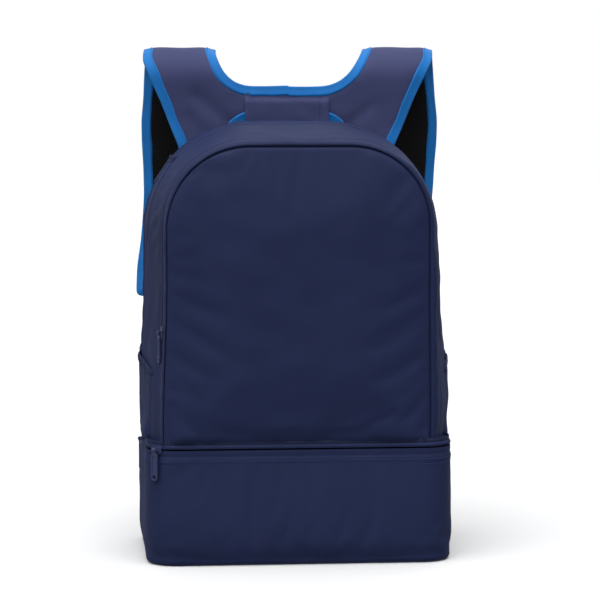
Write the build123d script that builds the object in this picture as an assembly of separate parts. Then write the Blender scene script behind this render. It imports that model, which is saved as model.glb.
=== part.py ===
from build123d import *
import math
import os

# Racket backpack, modelled as its sewn pieces and hardware, in millimetres.
# X runs across the bag, -Y is the front, +Z is up, and the origin lies on the floor under the middle of
# the bag. Soft panels are plain closed shells at their true place and size. Every zip is split along its
# centre, so each half belongs to the panel that it is sewn to, and the sliders ride on both halves.

# ---- driving dimensions ----
BODY_HALF_W = 146.0      # main body, half width
BODY_TOP = 428.0
BODY_CORNER_R = 111.0    # big arch corners of the body
FRONT_HALF_W = 131.0     # front pocket panel, half width
FRONT_TOP = 412.0
FRONT_CORNER_R = 82.0
BACK_Y = 80.0            # outer face of the back panel
LINING_Y = 68.0          # its inner face
FRONT_Y = -86.0          # outer face of the front pocket
FRONT_EDGE_R = 7.0       # rounding between its face and its rim
PARTITION_Y = -50.0      # front face of the sheet between the front pocket and the main compartment
TAPER_START_Y = 13.1     # the body narrows from here to the front
TAPER_END_Y = -68.9
WALL = 2.0               # laminate of shell fabric and lining
FOLD_Z = 216.0           # level where both upper flaps fold
GAP = 0.4                # clearance along a fold or a cut
DECK_Z = 118.0           # underside of the divider between the compartments
DECK_T = 2.0
FLOOR_T = 3.0
BOARD_T = 2.0            # stiffener on the floor
BOARD_INSET = 7.0
BASE_HALF_W = 150.0      # lower shoe compartment, half width
BASE_FRONT_Y = -88.0
BASE_CORNER_R = 30.0     # its front corners, seen from above

# ---- side pockets ----
POCKET_FRONT_Y = -44.0
POCKET_BACK_Y = 60.0
POCKET_MOUTH_FRONT = 186.0
POCKET_MOUTH_BACK = 204.0
POCKET_DEPTH = 5.0       # beyond the side wall, with the pocket empty
POCKET_WALL = 1.5
HEM_H = 8.0

# ---- zips ----
COIL_W = 2.2             # width of one coil half
COIL_T = 2.0
COIL_SPLIT = 1.4         # gap between the halves, where the slider's web runs
TAPE_W = 4.0
TAPE_T = 1.0
MAIN_ZIP_Y = 20.0
POCKET_ZIP_Y = -62.0
SHOE_ZIP_Z = 114.0
SHOE_ZIP_END_Y = 10.0
ZIP_INSET = 1.5          # depth of the tape's middle under the outer face
CHAIN_HALF = COIL_SPLIT / 2 + COIL_W
ZIP_HALF = CHAIN_HALF + TAPE_W

# ---- sliders and pulls ----
SLIDER_L = 12.0
SLIDER_W = 7.4
SLIDER_PLATE_T = 1.0
SLIDER_MOUTH = 5.0       # space between the plates
SLIDER_WEB_T = 1.0
SLIDER_WEB_L = 7.0
BAR_R = 0.8              # bar that the pull hangs on
BAR_RISE = 2.4           # bar's height over the outer plate
BAR_SPAN = 6.4
POST_T = 1.2
PULL_L = 30.0
PULL_W = 7.5
PULL_T = 1.6
PULL_HOLE_R = 2.0
PULL_EYE_R = 1.9
PULL_EYE_CLEAR = 0.25
PULL_EYE_W = 3.4
PULL_RIM = 0.5
MAIN_SLIDER_ANGLE = 42.0     # on the left corner of the main zip, up from level
MAIN_PULL_DROOP = 8.0
POCKET_SLIDER_Z = 226.0
SHOE_SLIDER_ANGLE = 50.0     # on the left front corner of the shoe zip
SHOE_SLIDER_Y = -2.0

# ---- harness ----
PAD_T = 8.0
SKIN_T = 1.0             # outer fabric, and the mesh lining
HARNESS_Y = 84.0         # middle of the yoke's thickness
LOOP_R = 30.0            # middle radius where a strap turns over
SEAM_Z = 470.0           # yoke and strap meet here
ROOT_Z = 372.0
BEND_R = 150.0           # where a strap starts to lean towards the bag
BEND_Z = 330.0
FOOT_LEAN = 15.0
FOOT_RUN = 46.5
BIND_T = 1.2
WEB_W = 25.0
WEB_T = 1.5
PATCH_T = 1.2

# ---- ladder lock ----
LOCK_X = 121.0
LOCK_DROP = 9.0          # from the strap's end to the lock's top bar
LOCK_W = 33.0
LOCK_T = 3.6
LOCK_H = 25.0
LOCK_BAR_R = 1.8
LOCK_MIDDLE = 11.5       # middle bar, below the top bar
THREAD_CLEAR = 0.3
THREAD_END = 38.0        # where the lock's own webbing hands over to the fixed run
TAIL_L = 80.0
ANCHOR_X = 128.0
ANCHOR_Z = 148.0

FAR = 1000.0             # larger than the bag, for cutting


# ---------------------------------------------------------------- general helpers
def block(x0, x1, y0, y1, z0, z1):
    return Pos((x0 + x1) / 2, (y0 + y1) / 2, (z0 + z1) / 2) * Box(x1 - x0, y1 - y0, z1 - z0)


def above(z):
    return block(-FAR, FAR, -FAR, FAR, z, FAR)


def below(z):
    return block(-FAR, FAR, -FAR, FAR, -FAR, z)


def side(sign):
    return block(0, FAR, -FAR, FAR, -FAR, FAR) if sign > 0 else block(-FAR, 0, -FAR, FAR, -FAR, FAR)


def cylinder_x(r, length, x, y, z):
    return Pos(x, y, z) * Rot(0, 90, 0) * Cylinder(r, length)


def cylinder_y(r, length, x, y, z):
    return Pos(x, y, z) * Rot(90, 0, 0) * Cylinder(r, length)


def plate_xz(points, y0, y1):
    """Prism of an outline drawn in X and Z, from y0 to y1."""
    face = make_face(Plane.XZ.offset(-y1) * Polyline(*points, close=True))
    return extrude(face, amount=y1 - y0, dir=(0, -1, 0))


def plate_yz(points, x0, x1):
    """Prism of an outline drawn in Y and Z, from x0 to x1."""
    face = make_face(Plane.YZ.offset(x0) * Polyline(*points, close=True))
    return extrude(face, amount=x1 - x0, dir=(1, 0, 0))


def mirrored(shape):
    return mirror(shape, about=Plane.YZ)


def both_sides(shape):
    """The same piece on the left and on the right, as one group of separate solids."""
    return Compound(children=[*shape.solids(), *mirrored(shape).solids()])


def group(*shapes):
    return Compound(children=[solid for shape in shapes for solid in shape.solids()])


def save(name, shape):
    solids = shape.solids()
    export_step(solids[0] if len(solids) == 1 else Compound(children=solids), f"parts/{name}.step")


# ---------------------------------------------------------------- the arched upper body
def section_at(y):
    """Half width, top and corner radius of the body's outer arch at depth y."""
    share = min(1.0, max(0.0, (TAPER_START_Y - y) / (TAPER_START_Y - TAPER_END_Y)))
    return (
        BODY_HALF_W + share * (FRONT_HALF_W - BODY_HALF_W),
        BODY_TOP + share * (FRONT_TOP - BODY_TOP),
        BODY_CORNER_R + share * (FRONT_CORNER_R - BODY_CORNER_R),
    )


def arch_face(half_w, top, corner_r, base, y):
    xc, zc = half_w - corner_r, top - corner_r
    outline = [
        Line((-half_w, zc), (-half_w, base)),
        Line((-half_w, base), (half_w, base)),
        Line((half_w, base), (half_w, zc)),
        CenterArc((xc, zc), corner_r, 0, 90),
        Line((xc, top), (-xc, top)),
        CenterArc((-xc, zc), corner_r, 90, 90),
    ]
    return make_face(Plane.XZ.offset(-y) * Curve(outline))


def arch_solid(y_front, y_back, inset, base):
    """Solid arch between two depths, shrunk by inset."""
    faces = []
    for y in (y_front, y_back):
        half_w, top, corner_r = section_at(y)
        faces.append(arch_face(half_w - inset, top - inset, corner_r - inset, base, y))
    if section_at(y_front) == section_at(y_back):
        return extrude(faces[1], amount=y_back - y_front, dir=(0, -1, 0))
    return loft(faces, ruled=True)


def arch_band(y_front, y_back, inset, thickness, base):
    """Band of the body's arch, open underneath, whose outer face is inset from the body's."""
    hollow = arch_solid(y_front, y_back, inset + thickness, base - WALL)
    return arch_solid(y_front, y_back, inset, base) - hollow


def zip_half(y_centre, direction, base):
    """Tape and coil of one zip half. direction is +1 for the half behind the centre, -1 for the front one."""
    def strip(near, far, thickness):
        y_low, y_high = sorted((y_centre + direction * near, y_centre + direction * far))
        return arch_band(y_low, y_high, ZIP_INSET - thickness / 2, thickness, base)

    coil = strip(COIL_SPLIT / 2, CHAIN_HALF, COIL_T)
    tape = strip(CHAIN_HALF, ZIP_HALF, TAPE_T)
    return group(tape, coil)


def front_dish():
    """Front pocket panel with its own rim, as one dished shell from the divider to the top."""
    rim_back = POCKET_ZIP_Y - ZIP_HALF
    half_w, top, corner_r = section_at(rim_back)
    base = SHOE_ZIP_Z + ZIP_HALF
    depth = rim_back - FRONT_Y
    outer = extrude(arch_face(half_w, top, corner_r, base, rim_back), amount=depth, dir=(0, -1, 0))
    front_edges = outer.faces().sort_by(Axis.Y)[0].edges().filter_by(lambda e: e.center().Z > base + 1)
    outer = fillet(front_edges, FRONT_EDGE_R)
    inner_face = arch_face(half_w - WALL, top - WALL, corner_r - WALL, base - WALL, rim_back)
    inner = extrude(inner_face, amount=depth - WALL, dir=(0, -1, 0))
    inner_front = inner.faces().sort_by(Axis.Y)[0].edges().filter_by(lambda e: e.center().Z > base + 1)
    return outer - fillet(inner_front, FRONT_EDGE_R - WALL)


def back_panel():
    """Mesh cover, foam and lining, one behind the other over the bag's full height."""
    cover_y = BACK_Y - WALL
    foam_y = LINING_Y + WALL
    save("back_mesh_cover", arch_solid(cover_y, BACK_Y, 0, FLOOR_T))
    save("back_foam", arch_solid(foam_y, cover_y, 0, FLOOR_T))
    save("back_lining", arch_solid(LINING_Y, foam_y, 0, FLOOR_T))


def upper_shells():
    base = DECK_Z + DECK_T
    rear_start = MAIN_ZIP_Y + ZIP_HALF
    save("rear_gusset", arch_band(rear_start, LINING_Y, 0, WALL, base) & above(FOLD_Z))
    lid_front = POCKET_ZIP_Y + ZIP_HALF
    lid_back = MAIN_ZIP_Y - ZIP_HALF
    save("lid_gusset", arch_band(lid_front, lid_back, 0, WALL, base) & above(FOLD_Z + GAP))
    panel = arch_band(lid_back, LINING_Y, 0, WALL, base) + arch_band(TAPER_END_Y, lid_back, 0, WALL, base)
    panel = panel & below(FOLD_Z)
    for name, sign in (("side_panel_left", -1), ("side_panel_right", 1)):
        save(name, panel & side(sign))
    partition = arch_solid(PARTITION_Y, PARTITION_Y + WALL, WALL, base)
    save("partition_lower", partition & below(FOLD_Z))
    save("lid_partition", partition & above(FOLD_Z + GAP))
    dish = front_dish()
    save("pocket_panel_lower", dish & below(FOLD_Z))
    save("pocket_panel_upper", dish & above(FOLD_Z + GAP))


def arch_zips():
    upper = above(FOLD_Z + GAP)
    save("main_zip_rear_half", zip_half(MAIN_ZIP_Y, 1, DECK_Z) & above(FOLD_Z))
    save("main_zip_front_half", zip_half(MAIN_ZIP_Y, -1, DECK_Z) & upper)
    save("pocket_zip_rear_half", zip_half(POCKET_ZIP_Y, 1, DECK_Z) & upper)
    save("pocket_zip_front_half", zip_half(POCKET_ZIP_Y, -1, DECK_Z) & upper)


# ---------------------------------------------------------------- the shoe compartment
def base_outline(inset):
    """Outline of the base seen from above, with round front corners, shrunk by inset."""
    half_w = BASE_HALF_W - inset
    front, back = BASE_FRONT_Y + inset, BACK_Y - inset
    rectangle = Pos(0, (front + back) / 2, 0) * Rectangle(2 * half_w, back - front)
    return fillet(rectangle.vertices().group_by(Axis.Y)[0], BASE_CORNER_R - inset)


def base_slab(inset, z0, z1):
    return Pos(0, 0, z0) * extrude(base_outline(inset), amount=z1 - z0, dir=(0, 0, 1))


def base_ring(inset, thickness, z0, z1):
    return base_slab(inset, z0, z1) - base_slab(inset + thickness, z0 - 1, z1 + 1)


def shoe_zip_half(direction):
    def ring(near, far, thickness):
        z_low, z_high = sorted((SHOE_ZIP_Z + direction * near, SHOE_ZIP_Z + direction * far))
        return base_ring(ZIP_INSET - thickness / 2, thickness, z_low, z_high)

    coil = ring(COIL_SPLIT / 2, CHAIN_HALF, COIL_T)
    tape = ring(CHAIN_HALF, ZIP_HALF, TAPE_T)
    return group(tape & zipped_length(), coil & zipped_length())


def zipped_length():
    return block(-FAR, FAR, -FAR, SHOE_ZIP_END_Y, -FAR, FAR)


def door(clearance):
    """The front wall between the round corners, which folds down as the shoe flap."""
    half = BASE_HALF_W - BASE_CORNER_R - clearance
    return block(-half, half, BASE_FRONT_Y - 5, BASE_FRONT_Y + 5, FLOOR_T, SHOE_ZIP_Z)


def base_compartment():
    save("base_floor", base_slab(0, 0, FLOOR_T))
    inside = block(-FAR, FAR, -FAR, LINING_Y, -FAR, FAR)
    save("base_board", base_slab(BOARD_INSET, FLOOR_T, FLOOR_T + BOARD_T) & inside)
    save("divider_floor", base_slab(WALL, DECK_Z, DECK_Z + DECK_T) & inside)

    wall_top = SHOE_ZIP_Z - ZIP_HALF
    wall = base_ring(0, WALL, FLOOR_T, wall_top)
    save("shoe_flap_wall", wall & door(GAP) & above(FLOOR_T + GAP))
    lower_zip = shoe_zip_half(-1)
    save("shoe_zip_lower_half", group(*[part & door(GAP) for part in lower_zip.solids()]))
    corners = [solid for part in lower_zip.solids() for solid in (part - door(0)).solids()]
    save("shoe_zip_side_halves", Compound(children=corners))
    save("shoe_zip_upper_half", shoe_zip_half(1))

    behind_zip = block(-FAR, FAR, SHOE_ZIP_END_Y, BACK_Y - WALL, -FAR, FAR)
    fixed = (wall - door(0)) + (base_ring(0, WALL, wall_top, DECK_Z) & behind_zip)
    fixed = fixed & block(-FAR, FAR, -FAR, BACK_Y - WALL, -FAR, FAR)
    for sign in (-1, 1):
        x0, x1 = sorted((sign * BODY_HALF_W, sign * (BASE_HALF_W - 1)))
        fixed += block(x0, x1, LINING_Y, BACK_Y - WALL, FLOOR_T, DECK_Z)
    for name, sign in (("shoe_side_left", -1), ("shoe_side_right", 1)):
        save(name, fixed & side(sign))


# ---------------------------------------------------------------- side pockets
def side_pockets():
    """Bellows pocket on each side wall, open at its slanted mouth, and the elastic hem round that mouth."""
    body = arch_solid(TAPER_END_Y, TAPER_START_Y, 0, DECK_Z) + arch_solid(TAPER_START_Y, BACK_Y, 0, DECK_Z)
    inner = BODY_HALF_W + POCKET_DEPTH
    outer = inner + POCKET_WALL
    slope = (POCKET_MOUTH_BACK - POCKET_MOUTH_FRONT) / (POCKET_BACK_Y - POCKET_FRONT_Y)

    def slanted(x0, x1, shrink, drop, z0):
        y0, y1 = POCKET_FRONT_Y + shrink, POCKET_BACK_Y - shrink
        top = [(y, POCKET_MOUTH_FRONT + slope * (y - POCKET_FRONT_Y) - drop) for y in (y1, y0)]
        return plate_yz([(y0, z0), (y1, z0), *top], x0, x1)

    low = DECK_Z + 4
    whole = slanted(BODY_HALF_W - 30, outer, 0, HEM_H, low)
    hollow = slanted(BODY_HALF_W - 31, inner, POCKET_WALL, -HEM_H, low + POCKET_WALL)
    pocket = whole - hollow - body
    save("side_pocket_right", pocket)
    save("side_pocket_left", mirrored(pocket))
    hem = slanted(inner - 0.4, outer + 0.4, 0, 0, low)
    hem = hem - slanted(inner - 1, outer + 1, -1, HEM_H, low - 1)
    save("pocket_hems", both_sides(hem))


# ---------------------------------------------------------------- sliders and pulls
def slider_body(bar_along):
    """Slider at the origin: the zip runs along X, across is Y, and the outside is +Z."""
    half = SLIDER_MOUTH / 2
    outline = [
        (-SLIDER_L / 2, SLIDER_W * 0.34), (-SLIDER_L / 6, SLIDER_W * 0.40), (SLIDER_L * 0.28, SLIDER_W / 2),
        (SLIDER_L / 2, SLIDER_W * 0.40), (SLIDER_L / 2, -SLIDER_W * 0.40), (SLIDER_L * 0.28, -SLIDER_W / 2),
        (-SLIDER_L / 6, -SLIDER_W * 0.40), (-SLIDER_L / 2, -SLIDER_W * 0.34),
    ]
    sketch = make_face(Polyline(*outline, close=True))
    sketch = fillet(sketch.vertices(), 0.9)
    plate = extrude(sketch, amount=SLIDER_PLATE_T, dir=(0, 0, 1))
    body = Pos(0, 0, half) * plate + Pos(0, 0, -half - SLIDER_PLATE_T) * plate
    body += Box(SLIDER_WEB_L, SLIDER_WEB_T, SLIDER_MOUTH + 0.4)
    bar_z = half + SLIDER_PLATE_T + BAR_RISE
    post_h = BAR_RISE + BAR_R
    for end in (-1, 1):
        offset_along = end * (BAR_SPAN - POST_T) / 2
        post = Pos(0, 0, bar_z + BAR_R - post_h / 2)
        if bar_along:
            body += post * Pos(offset_along, 0, 0) * Box(POST_T, 2 * BAR_R, post_h + 0.2)
        else:
            body += post * Pos(0, offset_along, 0) * Box(2 * BAR_R, POST_T, post_h + 0.2)
    turn = Rot(0, 90, 0) if bar_along else Rot(90, 0, 0)
    body += Pos(0, 0, bar_z) * turn * Cylinder(BAR_R, BAR_SPAN)
    return body


def pull_tab():
    """Pull with its eye's centre at the origin and its eye along X. The tab hangs down -Z and faces -Y."""
    tab_top = -PULL_EYE_R - 2.5
    width, low = PULL_W / 2, -PULL_L
    neck = PULL_EYE_W / 2
    outline = [(-width, low + width), (width, low + width), (width, tab_top), (neck, tab_top + 1.6),
               (-neck, tab_top + 1.6), (-width, tab_top)]
    tab = plate_xz(outline, -PULL_T / 2, PULL_T / 2)
    tab += cylinder_y(width, PULL_T, 0, 0, low + width)
    tab += block(-neck, neck, -PULL_T / 2, PULL_T / 2, tab_top, -PULL_EYE_R + 0.4)
    recess = block(-width + 1.3, width - 1.3, -PULL_T, -PULL_T / 2 + PULL_RIM, low + 2 * width, tab_top - 1.4)
    tab = tab - recess
    tab = tab - cylinder_y(PULL_HOLE_R, 3 * PULL_T, 0, 0, low + width)
    eye = cylinder_x(PULL_EYE_R, PULL_EYE_W, 0, 0, 0)
    return tab + eye - cylinder_x(BAR_R + PULL_EYE_CLEAR, 2 * PULL_EYE_W, 0, 0, 0)


def bar_height():
    return SLIDER_MOUTH / 2 + SLIDER_PLATE_T + BAR_RISE


def slider_with_pull(name, place, bar_along, droop=0.0):
    """place puts the slider's own axes on the zip: X along it, Y across, Z outward.

    The pull hangs along the zip, towards -X, from a bar that lies across it. On a level zip the bar lies
    along it and the pull hangs towards -Y. droop leans the hanging end towards the bag.
    """
    save(f"{name}_slider", place * slider_body(bar_along))
    turn = Rot(0, 0, 0) if bar_along else Rot(0, 0, -90)
    lay = Pos(0, 0, bar_height()) * turn * Rot(-90 + droop, 0, 0)
    save(f"{name}_pull", place * lay * pull_tab())


def arc_place(angle):
    """Place on the left corner of the main zip. angle is up from level, about the corner's centre."""
    r = BODY_CORNER_R - ZIP_INSET
    a = math.radians(angle)
    centre_x, centre_z = BODY_HALF_W - BODY_CORNER_R, BODY_TOP - BODY_CORNER_R
    x, z = -centre_x - r * math.cos(a), centre_z + r * math.sin(a)
    outward, along = (-math.cos(a), 0, math.sin(a)), (math.sin(a), 0, math.cos(a))
    return Location(Plane(origin=(x, MAIN_ZIP_Y, z), x_dir=along, z_dir=outward))


def taper_place(z):
    """Place on the left, straight stretch of the pocket zip."""
    half_w = section_at(POCKET_ZIP_Y)[0]
    lean = math.atan2(BODY_HALF_W - FRONT_HALF_W, TAPER_START_Y - TAPER_END_Y)
    outward = (-math.cos(lean), -math.sin(lean), 0)
    x = -half_w + ZIP_INSET
    return Location(Plane(origin=(x, POCKET_ZIP_Y, z), x_dir=(0, 0, 1), z_dir=outward))


def corner_place(angle):
    """Place on the shoe zip's left front corner. angle is from the left towards the front."""
    r = BASE_CORNER_R - ZIP_INSET
    a = math.radians(angle)
    centre_x, centre_y = -(BASE_HALF_W - BASE_CORNER_R), BASE_FRONT_Y + BASE_CORNER_R
    origin = (centre_x - r * math.cos(a), centre_y - r * math.sin(a), SHOE_ZIP_Z)
    outward, along = (-math.cos(a), -math.sin(a), 0), (math.sin(a), -math.cos(a), 0)
    return Location(Plane(origin=origin, x_dir=along, z_dir=outward))


def left_place(y):
    """Place on the straight left stretch of the shoe zip."""
    origin = (-BASE_HALF_W + ZIP_INSET, y, SHOE_ZIP_Z)
    return Location(Plane(origin=origin, x_dir=(0, -1, 0), z_dir=(-1, 0, 0)))


def sliders():
    slider_with_pull("main", arc_place(MAIN_SLIDER_ANGLE), False, droop=MAIN_PULL_DROOP)
    slider_with_pull("pocket", taper_place(POCKET_SLIDER_Z), False)
    slider_with_pull("shoe_front", corner_place(SHOE_SLIDER_ANGLE), True)
    slider_with_pull("shoe_side", left_place(SHOE_SLIDER_Y), True)


# ---------------------------------------------------------------- harness
def loop_band(inner, outer):
    """The padded strap's side view between two shifts from its middle, as wide as the whole harness.

    It goes up the yoke, over in a half circle, down behind, and leans in towards the bag at its lower end.
    """
    far_y, bend_y = HARNESS_Y + 2 * LOOP_R, HARNESS_Y + 2 * LOOP_R - BEND_R
    lean = math.radians(FOOT_LEAN)
    edges, feet, heads = [], [], []
    for shift in (inner, outer):
        near, far, bend_r = HARNESS_Y - shift, far_y + shift, BEND_R + shift
        knee = (bend_y + bend_r * math.cos(lean), BEND_Z - bend_r * math.sin(lean))
        foot = (knee[0] - FOOT_RUN * math.sin(lean), knee[1] - FOOT_RUN * math.cos(lean))
        edges += [
            Line((near, ROOT_Z), (near, SEAM_Z)),
            CenterArc((HARNESS_Y + LOOP_R, SEAM_Z), LOOP_R + shift, 0, 180),
            Line((far, SEAM_Z), (far, BEND_Z)),
            CenterArc((bend_y, BEND_Z), bend_r, 0, -FOOT_LEAN),
            Line(knee, foot),
        ]
        heads.append((near, ROOT_Z))
        feet.append(foot)
    edges += [Line(*heads), Line(*feet)]
    face = make_face(Plane.YZ.offset(-200) * Curve(edges))
    return extrude(face, amount=400, dir=(1, 0, 0))


def harness_prism(points, shrink=0.0):
    """Everything inside an outline that is drawn from the front."""
    sketch = make_face(Polyline(*points, close=True))
    if shrink:
        sketch = offset(sketch, amount=-shrink, kind=Kind.INTERSECTION)
    return extrude(Plane.XZ.offset(-FAR / 2) * sketch, amount=FAR, dir=(0, -1, 0))


def yoke_outline():
    """Yoke with both straps' beginnings and both roots, running on past its ends."""
    right = [(0, 437), (42, 437), (54, 433), (60, 425), (59, 414), (52, ROOT_Z), (50, ROOT_Z - 30),
             (100, ROOT_Z - 30), (104, ROOT_Z), (110, 402), (128, 446), (148, 490), (148, 540),
             (80, 540), (80, 498), (77, 485), (70, 473), (60, 464), (46, 460), (0, 460)]
    left = [(-x, z) for x, z in reversed(right) if x > 0]
    return right + left


STRAP_OUTLINE = [(80, 540), (80, 498), (84, 450), (92, 400), (97, 320), (103, 262), (105, 249),
                 (137, 249), (140, 262), (153, 302), (156, 340), (156, 430), (148, 490), (148, 540)]


def harness():
    """Yoke, both padded straps and their bindings. Returns the right strap's full thickness."""
    fold_y = HARNESS_Y + LOOP_R
    regions = {
        "yoke": block(-FAR, FAR, -FAR, fold_y, -FAR, SEAM_Z),
        "over": block(0, FAR, -FAR, fold_y, SEAM_Z, FAR),
        "down": block(0, FAR, fold_y, FAR, -FAR, FAR),
    }
    yoke_all, yoke_core = harness_prism(yoke_outline()), harness_prism(yoke_outline(), BIND_T)
    strap_all, strap_core = harness_prism(STRAP_OUTLINE), harness_prism(STRAP_OUTLINE, BIND_T)

    layers = {"fabric": (PAD_T / 2 - SKIN_T, PAD_T / 2), "mesh": (-PAD_T / 2, -PAD_T / 2 + SKIN_T),
              "foam": (-PAD_T / 2 + SKIN_T, PAD_T / 2 - SKIN_T)}
    for name, (inner, outer) in layers.items():
        layer = loop_band(inner, outer)
        save(f"yoke_{name}", layer & regions["yoke"] & yoke_core)
        strap = (layer & regions["over"] & yoke_core) + (layer & regions["down"] & strap_core)
        if name == "foam":
            save("strap_foams", both_sides(strap))
        else:
            save(f"strap_{name}_right", strap)
            save(f"strap_{name}_left", mirrored(strap))

    full = loop_band(-PAD_T / 2, PAD_T / 2)
    yoke_strips = ((full & regions["yoke"] & yoke_all) - yoke_core).solids().sort_by(Axis.X)
    lower, neck = ShapeList(yoke_strips[1:-1]).sort_by(Axis.Z)
    save("yoke_lower_binding", lower)
    save("neck_binding", neck)
    over = (full & regions["over"] & yoke_all) - yoke_core
    down = (full & regions["down"] & strap_all) - strap_core
    mid_line = [(121, 200), (121, 300), (114, 480), (114, 560)]
    outer_half = harness_prism([*mid_line, (400, 560), (400, 200)])
    outer = yoke_strips[-1] + (over & outer_half) + (down & outer_half)
    save("outer_binding_right", outer)
    save("outer_binding_left", mirrored(outer))
    save("inner_bindings", both_sides((over - outer_half) + (down - outer_half)))
    save("yoke_centre_tab", block(-41, 41, BACK_Y - 1.5, BACK_Y, BODY_TOP, 457))
    return full & regions["down"] & strap_all


# ---------------------------------------------------------------- webbing and ladder locks
def lock_plane():
    """Plane of the right ladder lock: X across, Y down along the strap, Z outward, origin on its top bar."""
    lean = math.radians(FOOT_LEAN)
    run = FOOT_RUN + LOCK_DROP
    y = HARNESS_Y + 2 * LOOP_R - BEND_R + BEND_R * math.cos(lean) - run * math.sin(lean)
    z = BEND_Z - BEND_R * math.sin(lean) - run * math.cos(lean)
    return Plane(origin=(LOCK_X, y, z), x_dir=(1, 0, 0), z_dir=(0, math.cos(lean), -math.sin(lean)))


def ribbon(points, radii, thickness=WEB_T):
    """Webbing along a path drawn in its own side view, lying in X and Y, with its width along Z."""
    path = FilletPolyline(*points, radius=radii)
    return extrude(trace(path, thickness), amount=WEB_W / 2, both=True)


def ladder_lock():
    """Flat buckle in its own plane: two rails, a round top bar, a middle bar and a lipped lower bar."""
    rail_w = (LOCK_W - WEB_W) / 2 - 0.8
    lock = Rot(0, 90, 0) * Cylinder(LOCK_BAR_R, LOCK_W - 1)
    for sign in (-1, 1):
        x = sign * (LOCK_W - rail_w) / 2
        lock += Pos(x, LOCK_H / 2 - LOCK_BAR_R, 0) * Box(rail_w, LOCK_H, LOCK_T)
    low = LOCK_H - LOCK_BAR_R
    half = LOCK_W / 2
    lock += block(-half + 0.5, half - 0.5, LOCK_MIDDLE - 1.5, LOCK_MIDDLE + 1.5, -1.4, 1.0)
    lock += block(-half, half, low - 3.2, low, 0.1, LOCK_T / 2 + 0.8)
    lock += block(-half + 2, half - 2, low - 0.1, low + 3.4, LOCK_T / 2 - 0.6, LOCK_T / 2 + 0.8)
    return lock


def threaded_webbing():
    """Webbing up behind the lower bar, over the middle bar and down behind the lower bar, with its tail."""
    top, back, front, under = LOCK_MIDDLE - 2.55, -2.6, 2.05, -0.95
    lean = math.radians(FOOT_LEAN)
    tail_end = (LOCK_H + 4 + TAIL_L * math.cos(lean), under + TAIL_L * math.sin(lean))
    points = [(THREAD_END, back), (top, back), (top, front), (LOCK_MIDDLE + 3, front),
              (LOCK_MIDDLE + 7.8, under), (LOCK_H + 4, under), tail_end]
    run = ribbon(points, [1.2, 1.2, 1.2, 1.2, 20])
    hem_start = (tail_end[0] - 14 * math.cos(lean), tail_end[1] - 14 * math.sin(lean))
    lift = (-WEB_T * math.sin(lean), WEB_T * math.cos(lean))
    hem = trace(Line(*[(x + lift[0], y + lift[1]) for x, y in (hem_start, tail_end)]), WEB_T)
    run += extrude(hem, amount=WEB_W / 2, both=True)
    # drawn with its length along X and its outside along Y, so it turns into the lock's own axes
    return Location(Plane(origin=(0, 0, 0), x_dir=(0, 1, 0), z_dir=(1, 0, 0))) * run


def buckle_loop():
    """Loop of webbing around the lock's top bar, with two legs up to the strap's end."""
    ring_r = LOCK_BAR_R + THREAD_CLEAR
    ring = Rot(0, 90, 0) * (Cylinder(ring_r + WEB_T, WEB_W) - Cylinder(ring_r, WEB_W + 2))
    ring = ring & block(-20, 20, 0, 20, -20, 20)
    for sign in (-1, 1):
        ring += Pos(0, -LOCK_DROP / 2, sign * (ring_r + WEB_T / 2)) * Box(WEB_W, LOCK_DROP + 4, WEB_T)
    return ring


def lower_webbing(plane):
    """From behind the ladder lock down to the patch at the back panel's lower corner."""
    start = plane.origin + plane.y_dir * (THREAD_END + 1.5) - plane.z_dir * 3.2
    anchor_y = BACK_Y + PATCH_T + WEB_T / 2
    flat = Vector(ANCHOR_X - start.X, 0, ANCHOR_Z - start.Z)
    down = flat.normalized()
    across = Vector(-down.Z, 0, down.X)
    drop = anchor_y - start.Y
    run = ribbon([(0, 0), (flat.length, drop), (flat.length + 24, drop)], [6])
    return Location(Plane(origin=start, x_dir=down, z_dir=across)) * run


def webbing(strap):
    plane = lock_plane()
    place = Location(plane)
    lock = place * ladder_lock()
    thread = place * threaded_webbing()
    low = lower_webbing(plane)
    for name, shape in (("ladder_lock", lock), ("adjuster_webbing", thread), ("lower_webbing", low)):
        save(f"{name}_right", shape)
        save(f"{name}_left", mirrored(shape))
    save("buckle_loops", both_sides(place * buckle_loop() - strap))
    outline = [(BODY_HALF_W, 104), (BODY_HALF_W, 166), (112, 152), (112, 118)]
    patch = plate_xz(outline, BACK_Y, BACK_Y + PATCH_T)
    save("strap_anchors", both_sides(patch))


def main():
    os.makedirs("parts", exist_ok=True)
    back_panel()
    upper_shells()
    arch_zips()
    base_compartment()
    side_pockets()
    sliders()
    webbing(harness())


main()
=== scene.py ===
import math

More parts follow.
